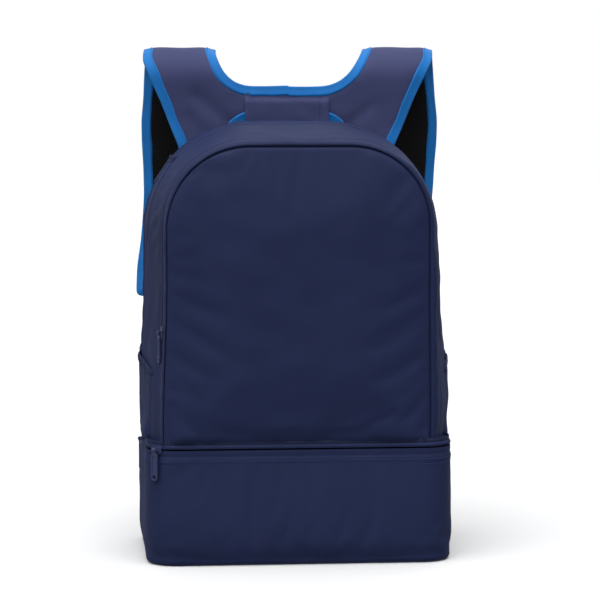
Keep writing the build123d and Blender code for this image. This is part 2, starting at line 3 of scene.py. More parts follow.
import bpy
import numpy as np
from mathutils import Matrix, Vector


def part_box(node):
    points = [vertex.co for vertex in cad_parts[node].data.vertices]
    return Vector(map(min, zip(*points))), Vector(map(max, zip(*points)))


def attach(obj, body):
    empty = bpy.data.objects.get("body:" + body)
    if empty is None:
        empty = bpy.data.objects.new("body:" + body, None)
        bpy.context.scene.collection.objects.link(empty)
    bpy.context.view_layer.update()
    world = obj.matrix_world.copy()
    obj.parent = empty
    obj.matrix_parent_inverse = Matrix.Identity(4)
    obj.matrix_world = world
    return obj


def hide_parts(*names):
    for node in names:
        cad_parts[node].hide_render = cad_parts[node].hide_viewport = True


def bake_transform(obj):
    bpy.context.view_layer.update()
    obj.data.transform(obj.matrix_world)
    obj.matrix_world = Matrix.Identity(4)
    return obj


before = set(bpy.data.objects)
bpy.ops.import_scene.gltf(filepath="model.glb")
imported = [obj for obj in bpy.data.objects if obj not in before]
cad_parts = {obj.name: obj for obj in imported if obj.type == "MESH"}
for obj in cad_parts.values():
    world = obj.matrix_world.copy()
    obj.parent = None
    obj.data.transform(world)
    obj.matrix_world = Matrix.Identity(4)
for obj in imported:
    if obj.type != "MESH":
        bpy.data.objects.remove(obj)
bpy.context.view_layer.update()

# Looks of the racket backpack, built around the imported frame. Shapes are worked out in millimetres in the
# frame's own axes: X across, -Y the front, +Z up. Every fabric piece is a closed thin shell.

MM = 0.001


def low(node):
    return np.array(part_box(node)[0]) / MM


def high(node):
    return np.array(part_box(node)[1]) / MM


# ---- sizes from the frame
BODY_HALF_W, BACK_Y, BODY_TOP = high("back_mesh_cover")
LINING_Y = low("back_lining")[1]
FRONT_HALF_W, _, FRONT_TOP = high("pocket_panel_upper")
FOLD_Z = high("pocket_panel_lower")[2]
PARTITION_Y = low("partition_lower")[1]
DECK_Z, DECK_TOP = low("divider_floor")[2], high("divider_floor")[2]
BASE_HALF_W, BASE_FRONT_Y = high("base_floor")[0], low("base_floor")[1]
MAIN_ZIP_Y = (low("main_zip_rear_half")[1] + high("main_zip_front_half")[1]) / 2
POCKET_ZIP_Y = (low("pocket_zip_rear_half")[1] + high("pocket_zip_front_half")[1]) / 2
SHOE_ZIP_Z = (low("shoe_zip_upper_half")[2] + high("shoe_zip_lower_half")[2]) / 2
SHOE_ZIP_END_Y = high("shoe_zip_upper_half")[1]
POCKET_BACK_Y, POCKET_FRONT_Y = high("pocket_hems")[1], low("pocket_hems")[1]
POCKET_LOW_Z = low("side_pocket_right")[2]
YOKE_ROOT_Z = low("yoke_fabric")[2]

# ---- sizes that repeat the design's own
BODY_CORNER_R = 111.0
FRONT_CORNER_R = 82.0
BASE_CORNER_R = 30.0
TAPER_START_Y, TAPER_END_Y = 13.1, -68.9
CLOTH_T = 1.2
ZIP_INSET = 1.5
ZIP_GAP = 0.8             # from a zip's centre to the edge of the fabric that covers its tape
SEAM_Z, LOOP_R, HARNESS_Y = 470.0, 30.0, 84.0
BEND_R, BEND_Z, FOOT_LEAN, FOOT_RUN = 150.0, 330.0, math.radians(15.0), 46.5
PAD_T, PAD_EDGE_T = 8.0, 3.0
BINDING_W = 9.0

SEED = 7


# ---------------------------------------------------------------- numbers
def smooth(x, start, end):
    """0 before start, 1 after end, and a smooth step between them."""
    t = np.clip((np.asarray(x, float) - start) / (end - start), 0, 1)
    return t * t * (3 - 2 * t)


def hump(x, centre, width):
    return np.exp(-(((np.asarray(x, float) - centre) / width) ** 2))


def waves(points, wavelength, seed, count=7):
    """Smooth random folds, about -1 to 1, from a few plane waves through space."""
    rng = np.random.default_rng(SEED + seed)
    direction = rng.normal(size=(count, 3))
    direction /= np.linalg.norm(direction, axis=1, keepdims=True)
    number = direction * (2 * math.pi / wavelength * rng.uniform(0.65, 1.4, (count, 1)))
    phase = rng.uniform(0, 2 * math.pi, count)
    return np.sin(points @ number.T + phase).mean(axis=-1) * 1.7


def steps(*marks):
    """Values running through the marks, given as value, count, value, count, ... value."""
    out = [marks[0]]
    for k in range(1, len(marks), 2):
        out += list(np.linspace(marks[k - 1], marks[k + 1], marks[k] + 1)[1:])
    return np.array(out)


def along(points):
    """Distance from the first point to each point of a line."""
    return np.concatenate([[0], np.cumsum(np.linalg.norm(np.diff(points, axis=0), axis=1))])


def resample(points, spacing):
    """The same line with its points evenly spaced."""
    run = along(points)
    even = np.linspace(0, run[-1], max(2, int(round(run[-1] / spacing)) + 1))
    return np.stack([np.interp(even, run, points[:, k]) for k in range(points.shape[1])], axis=1)


def rounded(points, reach, spacing=1.5):
    """A line through given points with its corners smoothed over about reach on each side."""
    line = resample(np.array(points, float), spacing)
    half = max(1, int(reach / spacing))
    weight = np.hanning(2 * half + 3)[1:-1]
    weight /= weight.sum()
    padded = np.concatenate([
        2 * line[0] - line[1:half + 1][::-1], line, 2 * line[-1] - line[-half - 1:-1][::-1],
    ])
    return np.stack([np.convolve(padded[:, k], weight, mode="valid") for k in range(line.shape[1])], axis=1)


# ---------------------------------------------------------------- meshes
def vertex_normals(points, quads):
    a, b, c, d = (points[quads[:, k]] for k in range(4))
    face = np.cross(c - a, d - b)
    normals = np.zeros_like(points)
    for k in range(4):
        np.add.at(normals, quads[:, k], face)
    return normals / np.maximum(np.linalg.norm(normals, axis=1, keepdims=True), 1e-12)


def grid_quads(rows, cols, keep=None, flip=False):
    index = np.arange(rows * cols).reshape(rows, cols)
    quads = np.stack([index[:-1, :-1], index[:-1, 1:], index[1:, 1:], index[1:, :-1]], axis=-1)
    quads = quads.reshape(-1, 4) if keep is None else quads[keep]
    return quads[:, ::-1] if flip else quads


def make_object(name, points, faces, uv, materials, indices=None, normals=None):
    """uv has a row for each point, or one for each face corner."""
    mesh = bpy.data.meshes.new(name)
    faces = [tuple(int(k) for k in face) for face in faces]
    mesh.from_pydata((np.asarray(points) * MM).tolist(), [], faces)
    corner = np.zeros(len(mesh.loops), np.int32)
    mesh.loops.foreach_get("vertex_index", corner)
    layer = mesh.uv_layers.new(name="weave")
    uv = np.asarray(uv, float) * MM
    layer.data.foreach_set("uv", (uv if len(uv) == len(corner) else uv[corner]).astype(np.float32).ravel())
    for material in materials:
        mesh.materials.append(material)
    mesh.polygons.foreach_set("use_smooth", np.ones(len(faces), bool))
    if indices is not None:
        mesh.polygons.foreach_set("material_index", np.asarray(indices, np.int32))
    mesh.update()
    if normals is not None:
        mesh.normals_split_custom_set_from_vertices(normals.tolist())
    obj = bpy.data.objects.new(name, mesh)
    bpy.context.scene.collection.objects.link(obj)
    return obj


def shell(name, points, quads, uv, thickness, outer, inner, normals=None, under=None):
    """A sheet of cloth as a closed thin shell, whose outer side is the given surface.

    under gives the points of the other side, where it isn't at a fixed thickness.
    """
    used, quads = np.unique(quads, return_inverse=True)
    quads = quads.reshape(-1, 4)
    points, uv = points[used], uv[used]
    normals = vertex_normals(points, quads) if normals is None else normals[used]
    count = len(points)
    under = points - normals * thickness if under is None else under[used]
    directed = np.concatenate([quads[:, [k, (k + 1) % 4]] for k in range(4)])
    there = directed[:, 0] * count + directed[:, 1]
    back = directed[:, 1] * count + directed[:, 0]
    edge = directed[~np.isin(back, there)]
    rim = np.stack([edge[:, 0], edge[:, 0] + count, edge[:, 1] + count, edge[:, 1]], axis=1)
    faces = np.concatenate([quads, quads[:, ::-1] + count, rim])
    indices = np.concatenate([np.zeros(len(quads)), np.ones(len(quads)), np.zeros(len(rim))])
    return make_object(
        name, np.concatenate([points, under]), faces, np.concatenate([uv, uv]), [outer, inner], indices,
        np.concatenate([normals, -normals]),
    )


def ring_parts(rings):
    """Points, faces and corner uv of a skin through a row of rings, closed at both ends."""
    rows, cols = rings.shape[:2]
    points = rings.reshape(-1, 3)
    around = along(np.concatenate([rings[0], rings[0][:1]]))
    middle = rings.mean(axis=1)
    run = along(middle)
    i, j = (index.ravel() for index in np.meshgrid(np.arange(rows - 1), np.arange(cols), indexing="ij"))
    k = (j + 1) % cols
    quads = np.stack([i * cols + j, i * cols + k, (i + 1) * cols + k, (i + 1) * cols + j], axis=1)
    places = (
        (around[j], run[i]), (around[j + 1], run[i]), (around[j + 1], run[i + 1]), (around[j], run[i + 1]),
    )
    corner = np.stack([np.stack(place, axis=1) for place in places], axis=1)
    a, b, c, d = (points[quads[:, side]] for side in range(4))
    inside_out = np.sum(np.cross(c - a, d - b) * ((a + c) / 2 - middle[i])) < 0
    first, last = np.arange(cols)[::-1], (rows - 1) * cols + np.arange(cols)
    if inside_out:
        quads, corner, first, last = quads[:, ::-1], corner[:, ::-1], first[::-1], last[::-1]
    faces = quads.tolist() + [first.tolist(), last.tolist()]
    ends = [points[first][:, [0, 2]], points[last][:, [0, 2]]]
    return points, faces, np.concatenate([corner.reshape(-1, 2), *ends])


def sweep_parts(centre, a, b, profile):
    """Points, faces and corner uv of a closed profile carried along a line. a and b are its axes."""
    profile = np.asarray(profile, float)
    profile = np.broadcast_to(profile, (len(centre), *profile.shape[-2:]))
    rings = centre[:, None, :] + profile[..., :1] * a[:, None, :] + profile[..., 1:] * b[:, None, :]
    return ring_parts(rings)


def join_parts(parts):
    points, faces, uv, shift = [], [], [], 0
    for part_points, part_faces, part_uv in parts:
        points.append(part_points)
        faces += [[k + shift for k in face] for face in part_faces]
        uv.append(part_uv)
        shift += len(part_points)
    return np.concatenate(points), faces, np.concatenate(uv)


def sweep(name, centre, a, b, profile, material):
    points, faces, uv = sweep_parts(centre, a, b, profile)
    return make_object(name, points, faces, uv, [material])


def at_depth(xz, y):
    """Points in space from columns of X and Z, all at depth y."""
    return np.stack([xz[:, 0], np.full(len(xz), y), xz[:, 1]], axis=1)


def unit(v):
    return v / np.maximum(np.linalg.norm(v, axis=-1, keepdims=True), 1e-12)


def circle(radius, count, squash=1.0):
    angle = np.arange(count) * 2 * math.pi / count
    return np.stack([radius * np.cos(angle), radius * squash * np.sin(angle)], axis=1)


STITCH_PROFILE = np.array([[-0.34, 0], [0, 0.34], [0.34, 0], [0, -0.12]])
STITCH_ROW_AWAY = 8.6     # from an arch zip's centre to the row of thread beside it


def stitches(name, lines, material, pitch=3.0, length=2.1):
    """Rows of thread. Each line is its points and the outward directions there."""
    parts = []
    for points, normals in lines:
        run = along(points)
        for start in np.arange(pitch / 2, run[-1] - length, pitch):
            at = start + length * np.array([0, 0.25, 0.75, 1.0])
            centre = np.stack([np.interp(at, run, points[:, k]) for k in range(3)], axis=1)
            outward = unit(np.stack([np.interp(at, run, normals[:, k]) for k in range(3)], axis=1))
            rise = np.array([-0.12, 0.16, 0.16, -0.12])
            centre = centre + outward * rise[:, None]
            across = unit(np.cross(np.gradient(centre, axis=0), outward))
            size = np.array([0.45, 1, 1, 0.45])
            parts.append(sweep_parts(centre, across, outward, STITCH_PROFILE[None] * size[:, None, None]))
    points, faces, uv = join_parts(parts)
    return make_object(name, points, faces, uv, [material])


def sewn_to_bag(name, lines, **sizes):
    """Rows of navy thread on the bag itself."""
    made = stitches(name, lines, thread, **sizes)
    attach(made, "bag")


CLOTH_STIFFNESS, CLOTH_BENDING = 12.0, 0.4


def settle(points, quads, pinned, pressure, growth, frames, cap, gravity=0.0):
    """Cloth simulation of a sheet held at its pinned points. It returns the points, moved by cap at most."""
    mesh = bpy.data.meshes.new("settling")
    mesh.from_pydata((points * MM).tolist(), [], quads.tolist())
    obj = bpy.data.objects.new("settling", mesh)
    bpy.context.scene.collection.objects.link(obj)
    group = obj.vertex_groups.new(name="held")
    group.add([int(k) for k in np.flatnonzero(pinned)], 1.0, "REPLACE")
    cloth = obj.modifiers.new("cloth", "CLOTH")
    settings = cloth.settings
    settings.quality = 6
    settings.mass = 0.2
    settings.tension_stiffness = settings.compression_stiffness = CLOTH_STIFFNESS
    settings.shear_stiffness = CLOTH_STIFFNESS / 2
    settings.bending_stiffness = CLOTH_BENDING
    settings.tension_damping = settings.compression_damping = settings.shear_damping = 8
    settings.air_damping = 4
    settings.use_pressure = True
    settings.uniform_pressure_force = pressure
    settings.shrink_min = settings.shrink_max = -growth
    settings.vertex_group_mass = "held"
    settings.effector_weights.gravity = gravity
    cloth.collision_settings.use_collision = False
    cloth.collision_settings.use_self_collision = False
    cloth.point_cache.frame_start, cloth.point_cache.frame_end = 1, frames
    scene = bpy.context.scene
    for step in range(1, frames + 1):
        scene.frame_set(step)
    settled = obj.evaluated_get(bpy.context.evaluated_depsgraph_get()).to_mesh()
    moved = np.zeros(len(points) * 3, np.float32)
    settled.vertices.foreach_get("co", moved)
    obj.to_mesh_clear()
    bpy.data.objects.remove(obj)
    scene.frame_set(1)
    shift = moved.reshape(-1, 3).astype(float) / MM - points
    size = np.linalg.norm(shift, axis=1, keepdims=True)
    return points + shift * np.minimum(1, cap / np.maximum(size, 1e-9))


# ---------------------------------------------------------------- materials
class Nodes:
    """Short names for building a material's node tree."""

    def __init__(self, name, roughness, specular=0.3, **values):
        self.material = bpy.data.materials.new(name)
        self.material.use_nodes = True
        self.tree = self.material.node_tree
        self.shader = self.tree.nodes["Principled BSDF"]
        self.set("Roughness", roughness)
        self.set("Specular IOR Level", specular)
        for socket, value in values.items():
            self.set(socket.replace("_", " "), value)

    def set(self, socket, value):
        if hasattr(value, "is_linked"):
            self.tree.links.new(value, self.shader.inputs[socket])
        else:
            self.shader.inputs[socket].default_value = value

    def add(self, kind, inputs=(), **settings):
        node = self.tree.nodes.new(kind)
        for key, value in settings.items():
            setattr(node, key, value)
        for key, value in dict(inputs).items():
            if hasattr(value, "is_linked"):
                self.tree.links.new(value, node.inputs[key])
            else:
                node.inputs[key].default_value = value
        return node

    def math(self, operation, a, b=0.0, c=0.0):
        return self.add("ShaderNodeMath", {0: a, 1: b, 2: c}, operation=operation).outputs[0]

    def uv(self):
        return self.add("ShaderNodeUVMap", uv_map="weave").outputs[0]

    def place(self):
        return self.add("ShaderNodeTexCoord").outputs["Object"]

    def wave(self, vector, axis, pitch, shift=0.0):
        """Sine of the position along one axis, -1 to 1, with its pitch in millimetres."""
        split = self.add("ShaderNodeSeparateXYZ", {0: vector})
        turn = self.math("MULTIPLY_ADD", split.outputs[axis], 2 * math.pi / (pitch * MM), shift)
        return self.math("SINE", turn)

    def noise(self, vector, size, detail=3.0):
        """Noise from 0 to 1 with features of about size millimetres."""
        made = self.add("ShaderNodeTexNoise", {"Vector": vector, "Scale": 1 / (size * MM), "Detail": detail})
        return made.outputs[0]

    def between(self, share, low_value, high_value):
        mixed = self.add("ShaderNodeMapRange", {"Value": share, "To Min": low_value, "To Max": high_value})
        return mixed.outputs[0]

    def colours(self, share, dark, light):
        mix = self.add("ShaderNodeMix", {0: share, 6: (*dark, 1), 7: (*light, 1)}, data_type="RGBA")
        return mix.outputs[2]

    def bump(self, height, depth, strength=1.0, normal=None):
        inputs = {"Height": height, "Distance": depth * MM, "Strength": strength}
        if normal is not None:
            inputs["Normal"] = normal
        return self.add("ShaderNodeBump", inputs).outputs[0]


def scaled(colour, factor):
    return tuple(min(1.0, c * factor) for c in colour)


WEAVE_SPECULAR, WEAVE_CONTRAST, WEAVE_SHEEN = 0.12, 0.16, 0.05
TAPE_SHEEN = 0.15


def woven(name, colour, pitch=0.9, relief=0.12, roughness=(0.5, 0.64)):
    """Plain weave of fine yarn, with slow patches of shade and finish."""
    n = Nodes(name, 0.6, WEAVE_SPECULAR)
    uv, place = n.uv(), n.place()
    weave = n.math("MULTIPLY", n.wave(uv, 0, pitch), n.wave(uv, 1, pitch))
    yarn = n.noise(uv, pitch * 0.7, 2)
    patch = n.noise(place, 45)
    height = n.math("MULTIPLY_ADD", weave, 0.35, yarn)
    share = n.math("MULTIPLY_ADD", patch, 0.75, n.math("MULTIPLY", height, 0.25))
    dark, light = scaled(colour, 1 - WEAVE_CONTRAST), scaled(colour, 1 + WEAVE_CONTRAST)
    n.set("Base Color", n.colours(share, dark, light))
    n.set("Roughness", n.between(n.noise(place, 30), *roughness))
    crumple = n.bump(n.noise(place, 9, 4), 0.35, 0.35)
    n.set("Normal", n.bump(height, relief, 0.55, crumple))
    n.set("Sheen Weight", WEAVE_SHEEN)
    n.set("Sheen Roughness", 0.45)
    n.set("Sheen Tint", (0.35, 0.42, 0.9, 1))
    return n.material


def ribbed_tape(name, colour, pitch=1.1, relief=0.2, coords="uv"):
    """Woven tape with ribs across its length."""
    n = Nodes(name, 0.6, 0.25)
    vector = n.uv() if coords == "uv" else n.place()
    axis = 1 if coords == "uv" else 2
    rib = n.wave(vector, axis, pitch)
    yarn = n.wave(vector, 0, 0.55)
    grain = n.noise(vector, 0.8, 2)
    patch = n.noise(n.place(), 22)
    height = n.math("MULTIPLY_ADD", rib, 0.4, n.math("MULTIPLY_ADD", yarn, 0.18, grain))
    share = n.math("MULTIPLY_ADD", patch, 0.6, n.math("MULTIPLY", height, 0.4))
    n.set("Base Color", n.colours(share, scaled(colour, 0.8), scaled(colour, 1.18)))
    n.set("Roughness", n.between(grain, 0.52, 0.7))
    n.set("Normal", n.bump(height, relief, 0.6))
    n.set("Sheen Weight", TAPE_SHEEN)
    return n.material


def spacer_mesh(name, net, hole_shade, pitch=3.0):
    """Knitted spacer mesh: staggered round holes in a thick soft net, with painted shade in the holes."""
    n = Nodes(name, 0.85, 0.15)
    uv = n.uv()
    turned = n.add("ShaderNodeMapping", {"Vector": uv, "Rotation": (0, 0, math.pi / 4)}).outputs[0]
    cells = n.math("MULTIPLY", n.wave(turned, 0, pitch * 2), n.wave(turned, 1, pitch * 2))
    hole_share = n.add("ShaderNodeMapRange", {
        "Value": n.math("ABSOLUTE", cells), "From Min": 0.30, "From Max": 0.62,
    }, interpolation_type="SMOOTHSTEP").outputs[0]
    fibre = n.noise(uv, 0.35, 2)
    shade = n.math("SUBTRACT", 1.0, hole_share)
    shade = n.math("MULTIPLY", shade, n.between(fibre, 0.7, 1.0))
    # The holes take a darker colour: painted shade inside them.
    n.set("Base Color", n.colours(shade, hole_shade, net))
    height = n.math("MULTIPLY_ADD", fibre, 0.25, n.math("MULTIPLY", hole_share, -1.0))
    n.set("Normal", n.bump(height, 0.7, 0.8))
    n.set("Roughness", n.between(fibre, 0.75, 0.95))
    return n.material


def painted_metal(name, colour):
    n = Nodes(name, 0.3, 0.5)
    place = n.place()
    grain = n.noise(place, 1.2, 4)
    n.set("Base Color", n.colours(n.noise(place, 4), scaled(colour, 0.85), scaled(colour, 1.2)))
    n.set("Roughness", n.between(grain, 0.26, 0.44))
    n.set("Normal", n.bump(grain, 0.03, 0.4))
    n.set("Coat Weight", 0.3)
    n.set("Coat Roughness", 0.25)
    return n.material


def moulded_plastic(name, colour):
    n = Nodes(name, 0.42, 0.45)
    place = n.place()
    grain = n.noise(place, 0.5, 3)
    n.set("Base Color", n.colours(n.noise(place, 6), scaled(colour, 0.85), scaled(colour, 1.2)))
    n.set("Roughness", n.between(grain, 0.36, 0.5))
    n.set("Normal", n.bump(grain, 0.04, 0.6))
    return n.material


def foam_rubber(name, colour):
    """Open foam with small pores."""
    n = Nodes(name, 0.9, 0.1)
    place = n.place()
    pores = n.noise(place, 1.1, 4)
    n.set("Base Color", n.colours(pores, scaled(colour, 0.6), scaled(colour, 1.2)))
    n.set("Roughness", n.between(pores, 0.8, 0.98))
    n.set("Normal", n.bump(pores, 0.4, 0.7))
    return n.material


def stiff_board(name, colour):
    n = Nodes(name, 0.7, 0.3)
    place = n.place()
    fibre = n.noise(place, 2.5, 6)
    n.set("Base Color", n.colours(fibre, scaled(colour, 0.7), scaled(colour, 1.25)))
    n.set("Roughness", n.between(fibre, 0.6, 0.8))
    n.set("Normal", n.bump(fibre, 0.1, 0.5))
    return n.material


NAVY = (0.0200, 0.0290, 0.0860)
# The harness colour is the body's navy made lighter: painted light, standing in for the light that falls on
# the harness from above.
PAINTED_LIGHT_HARNESS_NAVY = (0.0560, 0.0650, 0.1600)
BLUE = (0.006, 0.190, 0.590)
fabric = woven("navy_fabric", NAVY)
painted_light_harness_fabric = woven("navy_harness_painted_light", PAINTED_LIGHT_HARNESS_NAVY)
trim = woven("navy_trim", scaled(NAVY, 0.9), pitch=0.7)
lining = woven("lining", (0.020, 0.024, 0.045), pitch=0.6, relief=0.06, roughness=(0.42, 0.55))
thread = woven("navy_thread", scaled(NAVY, 2.6), pitch=0.4, relief=0.03)
blue = ribbed_tape("blue_binding", BLUE)
blue_thread = woven("blue_thread", scaled(BLUE, 1.1), pitch=0.4, relief=0.03)
webbing = ribbed_tape("navy_webbing", scaled(NAVY, 0.85), pitch=1.6, relief=0.35, coords="place")
# The second colour is painted shade for the mesh's holes.
mesh_fabric = spacer_mesh("black_mesh", (0.0150, 0.0150, 0.0165), (0.0012, 0.0012, 0.0014))
zip_tape = woven("zip_tape", scaled(NAVY, 0.6), pitch=0.6, relief=0.06)
coil = moulded_plastic("zip_coil", scaled(NAVY, 0.7))
paint = painted_metal("navy_paint", (0.036, 0.046, 0.125))
plastic = moulded_plastic("lock_plastic", scaled(NAVY, 0.6))
foam = foam_rubber("grey_foam", (0.06, 0.06, 0.065))
board = stiff_board("board", (0.03, 0.03, 0.035))


# ---------------------------------------------------------------- camera, light and floor
WORLD_LIGHT = 0.26
LAMPS = (      # name, azimuth, elevation and softness in degrees, and strength
    ("key", -24.0, 58.0, 80.0, 2.35),
    ("top", 15.0, 84.0, 60.0, 1.05),
    ("rear", 165.0, 35.0, 60.0, 0.45),
)


CAMERA_AZIMUTH, CAMERA_ELEVATION = math.radians(-5.0), math.radians(5.0)
CAMERA_AWAY, CAMERA_AIM = 2.5, Vector((0.0065, 0.0, 0.2512))       # metres
FOCAL_LENGTH, SENSOR_WIDTH = 150.0, 36.0
STAGE_REACH = 9000.0


def towards(azimuth, elevation):
    """Direction from the bag's middle, with azimuth 0 in front of it."""
    flat = math.cos(elevation)
    return Vector((math.sin(azimuth) * flat, -math.cos(azimuth) * flat, math.sin(elevation)))


def camera_and_stage():
    back = towards(CAMERA_AZIMUTH, CAMERA_ELEVATION)
    data = bpy.data.cameras.new("camera")
    data.lens, data.sensor_width = FOCAL_LENGTH, SENSOR_WIDTH
    camera = bpy.data.objects.new("camera", data)
    camera.location = CAMERA_AIM + back * CAMERA_AWAY
    camera.rotation_mode = "QUATERNION"
    camera.rotation_quaternion = (-back).to_track_quat("-Z", "Y")
    bpy.context.scene.collection.objects.link(camera)
    bpy.context.scene.camera = camera

    bpy.context.scene.view_settings.view_transform = "Standard"
    world = bpy.data.worlds.new("studio")
    bpy.context.scene.world = world
    world.use_nodes = True
    world.node_tree.nodes["Background"].inputs["Color"].default_value = (0.95, 0.97, 1, 1)
    world.node_tree.nodes["Background"].inputs["Strength"].default_value = WORLD_LIGHT

    n = Nodes("floor", 0.9, 0.05)
    n.set("Base Color", (0.90, 0.90, 0.90, 1))
    corners = STAGE_REACH * np.array([[-1, -1, 0], [1, -1, 0], [1, 1, 0], [-1, 1, 0]], float)
    floor = make_object("floor", corners, [(0, 1, 2, 3)], corners[:, :2], [n.material])
    floor.visible_diffuse = floor.visible_glossy = False

    n = Nodes("backdrop", 1.0, 0.0)
    n.set("Base Color", (0, 0, 0, 1))
    n.set("Emission Color", (1, 1, 1, 1))
    n.set("Emission Strength", 1.0)
    turn = np.arange(49) * 2 * math.pi / 48
    ring = np.stack([np.cos(turn), np.sin(turn), np.zeros(49)], axis=1) * STAGE_REACH * 0.98
    points = np.concatenate([ring + [0, 0, z] for z in (-300, 9000)])
    backdrop = make_object("backdrop", points, grid_quads(2, 49), points[:, :2], [n.material])
    backdrop.visible_diffuse = backdrop.visible_glossy = backdrop.visible_shadow = False

    for name, azimuth, elevation, softness, strength in LAMPS:
        lamp = bpy.data.lights.new(name, "SUN")
        lamp.angle, lamp.energy = math.radians(softness), strength
        obj = bpy.data.objects.new(name, lamp)
        direction = towards(math.radians(azimuth), math.radians(elevation))
        obj.rotation_mode = "QUATERNION"
        obj.rotation_quaternion = direction.to_track_quat("Z", "Y")
        bpy.context.scene.collection.objects.link(obj)


camera_and_stage()


def with_lid(piece):
    """Bakes the placement of a piece that belongs with the main lid into its mesh."""
    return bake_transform(piece)


def with_flap(piece):
    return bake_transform(piece)


def with_shoe_flap(piece):
    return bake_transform(piece)


# ---- flat sizes of the cloth, in metres, that are typed in and not worked out from the frame
POCKET_LOWER_FLAT, POCKET_UPPER_FLAT = (0.31, 0.106), (0.31, 0.235)


# ---------------------------------------------------------------- the arched upper body
ARCH_COUNTS = (26, 46, 60)    # steps to the fold, to the middle of the corner, and over the top
UPPER_BASE = DECK_Z + 0.4


def section_at(y):
    share = min(1.0, max(0.0, (TAPER_START_Y - y) / (TAPER_START_Y - TAPER_END_Y)))
    return (
        BODY_HALF_W + share * (FRONT_HALF_W - BODY_HALF_W),
        BODY_TOP + share * (FRONT_TOP - BODY_TOP),
        BODY_CORNER_R + share * (FRONT_CORNER_R - BODY_CORNER_R),
    )


def arch_points(half_w, top, r, base, s):
    """Places and outward directions on an arch, at distance s from its left foot. Columns are X and Z."""
    xc, zc = half_w - r, top - r
    rise, turn = zc - base, r * math.pi / 2
    s1, s2, s3, s4 = rise, rise + turn, rise + turn + 2 * xc, rise + 2 * turn + 2 * xc
    left, right = (s - s1) / r, (s - s3) / r
    one, none = np.ones_like(s), np.zeros_like(s)
    where = [s < s1, s < s2, s < s3, s < s4]
    xs = [-half_w * one, -xc - r * np.cos(left), -xc + s - s2, xc + r * np.sin(right)]
    zs = [base + s, zc + r * np.sin(left), top * one, zc + r * np.cos(right)]
    x, z = np.select(where, xs, half_w), np.select(where, zs, zc - (s - s4))
    nx = np.select(where, [-one, -np.cos(left), none, np.sin(right)], 1.0)
    nz = np.select(where, [none, np.sin(left), one, np.cos(right)], 0.0)
    return np.stack([x, z], axis=1), np.stack([nx, nz], axis=1)


def arch_stations(half_w, top, r, base, counts=ARCH_COUNTS):
    """Distances along an arch, with a station at the fold on each side and one at each corner's middle."""
    to_fold, to_corner = FOLD_Z - base, top - r - base + r * math.pi / 4
    whole = 2 * (top - r - base) + r * math.pi + 2 * (half_w - r)
    lower, side_steps, over = counts
    return steps(0.0, lower, to_fold, side_steps, to_corner, over, whole - to_corner,
                 side_steps, whole - to_fold, lower, whole)


def fold_columns(counts=ARCH_COUNTS):
    """For each step along an arch, whether it lies above the fold."""
    lower, side_steps, over = counts
    total = 2 * (lower + side_steps) + over
    column = np.arange(total)
    return (column >= lower) & (column < total - lower)


def flare(points):
    """Share by which the body widens towards its foot, most beside the front corners."""
    x, y, z = points[..., 0], points[..., 1], points[..., 2]
    at_front = smooth(-y, 62, 84)
    right = smooth(x, 40, 130) * (0.014 * (1 - at_front) - 0.022 * at_front)
    return (0.030 + 0.024 * hump(y, -42, 24) + right) * (1 - smooth(z, 135, 275))


def body_push(points):
    """How far the soft body stands out from its frame, in millimetres: full sides, small folds and dents."""
    x, y, z = points[..., 0], points[..., 1], points[..., 2]
    on_side = smooth(np.abs(x), 100, 128)
    full = (2.4 + 2.2 * (x > 0)) * hump(y, 5 - 30 * (x > 0), 55)
    full = full * smooth(z, 118, 165) * (1 - smooth(z, 270, 350))
    lower = flare(points) * np.abs(x)
    at_zip = np.maximum(hump(y, MAIN_ZIP_Y, 10), hump(y, POCKET_ZIP_Y, 9)) * smooth(z, 205, 225)
    calm = 1 - at_zip
    folds = 0.9 * waves(points, 60, 1) + 0.5 * waves(points * [1, 0.6, 1], 26, 2)
    slump = -1.6 * smooth(z, 380, 420) * hump(y, -15, 30) * hump(x, 10, 60)
    ribs = 0.8 * np.sin(z / 3.4 + y / 9) * hump(z, 330, 34) * hump(y, -25, 22) * (x < 0)
    return on_side * (full * (1 - 0.5 * at_zip) + lower) + calm * (folds + ribs) - 0.2 * at_zip + slump


def gusset(ys):
    """Grid of the body's outer face at these depths: points, outward directions, and flat coordinates."""
    rows, directions, flat = [], [], []
    for y in ys:
        shape = section_at(y)
        s = arch_stations(*shape, UPPER_BASE)
        xz, n = arch_points(*shape, UPPER_BASE, s)
        rows.append(at_depth(xz, y))
        directions.append(at_depth(n, 0.0))
        flat.append(np.stack([s, np.full(len(s), y)], axis=1))
    return np.array(rows), np.array(directions), np.array(flat)


def zip_lips(y, z, centres):
    """Small raised folds where the fabric is turned over beside a zip, with a groove at the stitches."""
    rise = 0.0
    for centre in centres:
        away = np.abs(y - centre)
        above = smooth(z, 205, 218)
        rise = rise + 0.3 * smooth(away, 9, 6) * above - 0.7 * hump(away, STITCH_ROW_AWAY, 1.1) * above
    return rise


def skin(ys, centres):
    points, outward, flat = gusset(ys)
    push = body_push(points) + zip_lips(points[..., 1], points[..., 2], centres)
    return points + outward * push[..., None], outward, flat


def gusset_piece(name, ys, slot_rows, centres, extra=None):
    """One gusset band. slot_rows are steps in depth that are there only below the fold, where no zip runs."""
    points, outward, flat = skin(ys, centres)
    if extra is not None:
        points = points + outward * extra(points)[..., None]
    rows, cols = points.shape[:2]
    keep = np.ones((rows - 1, cols - 1), bool)
    for row in slot_rows:
        keep[row, fold_columns()] = False
    quads = grid_quads(rows, cols, keep)
    flat_points = points.reshape(-1, 3)
    return shell(name, flat_points, quads, flat.reshape(-1, 2), CLOTH_T, fabric, lining)


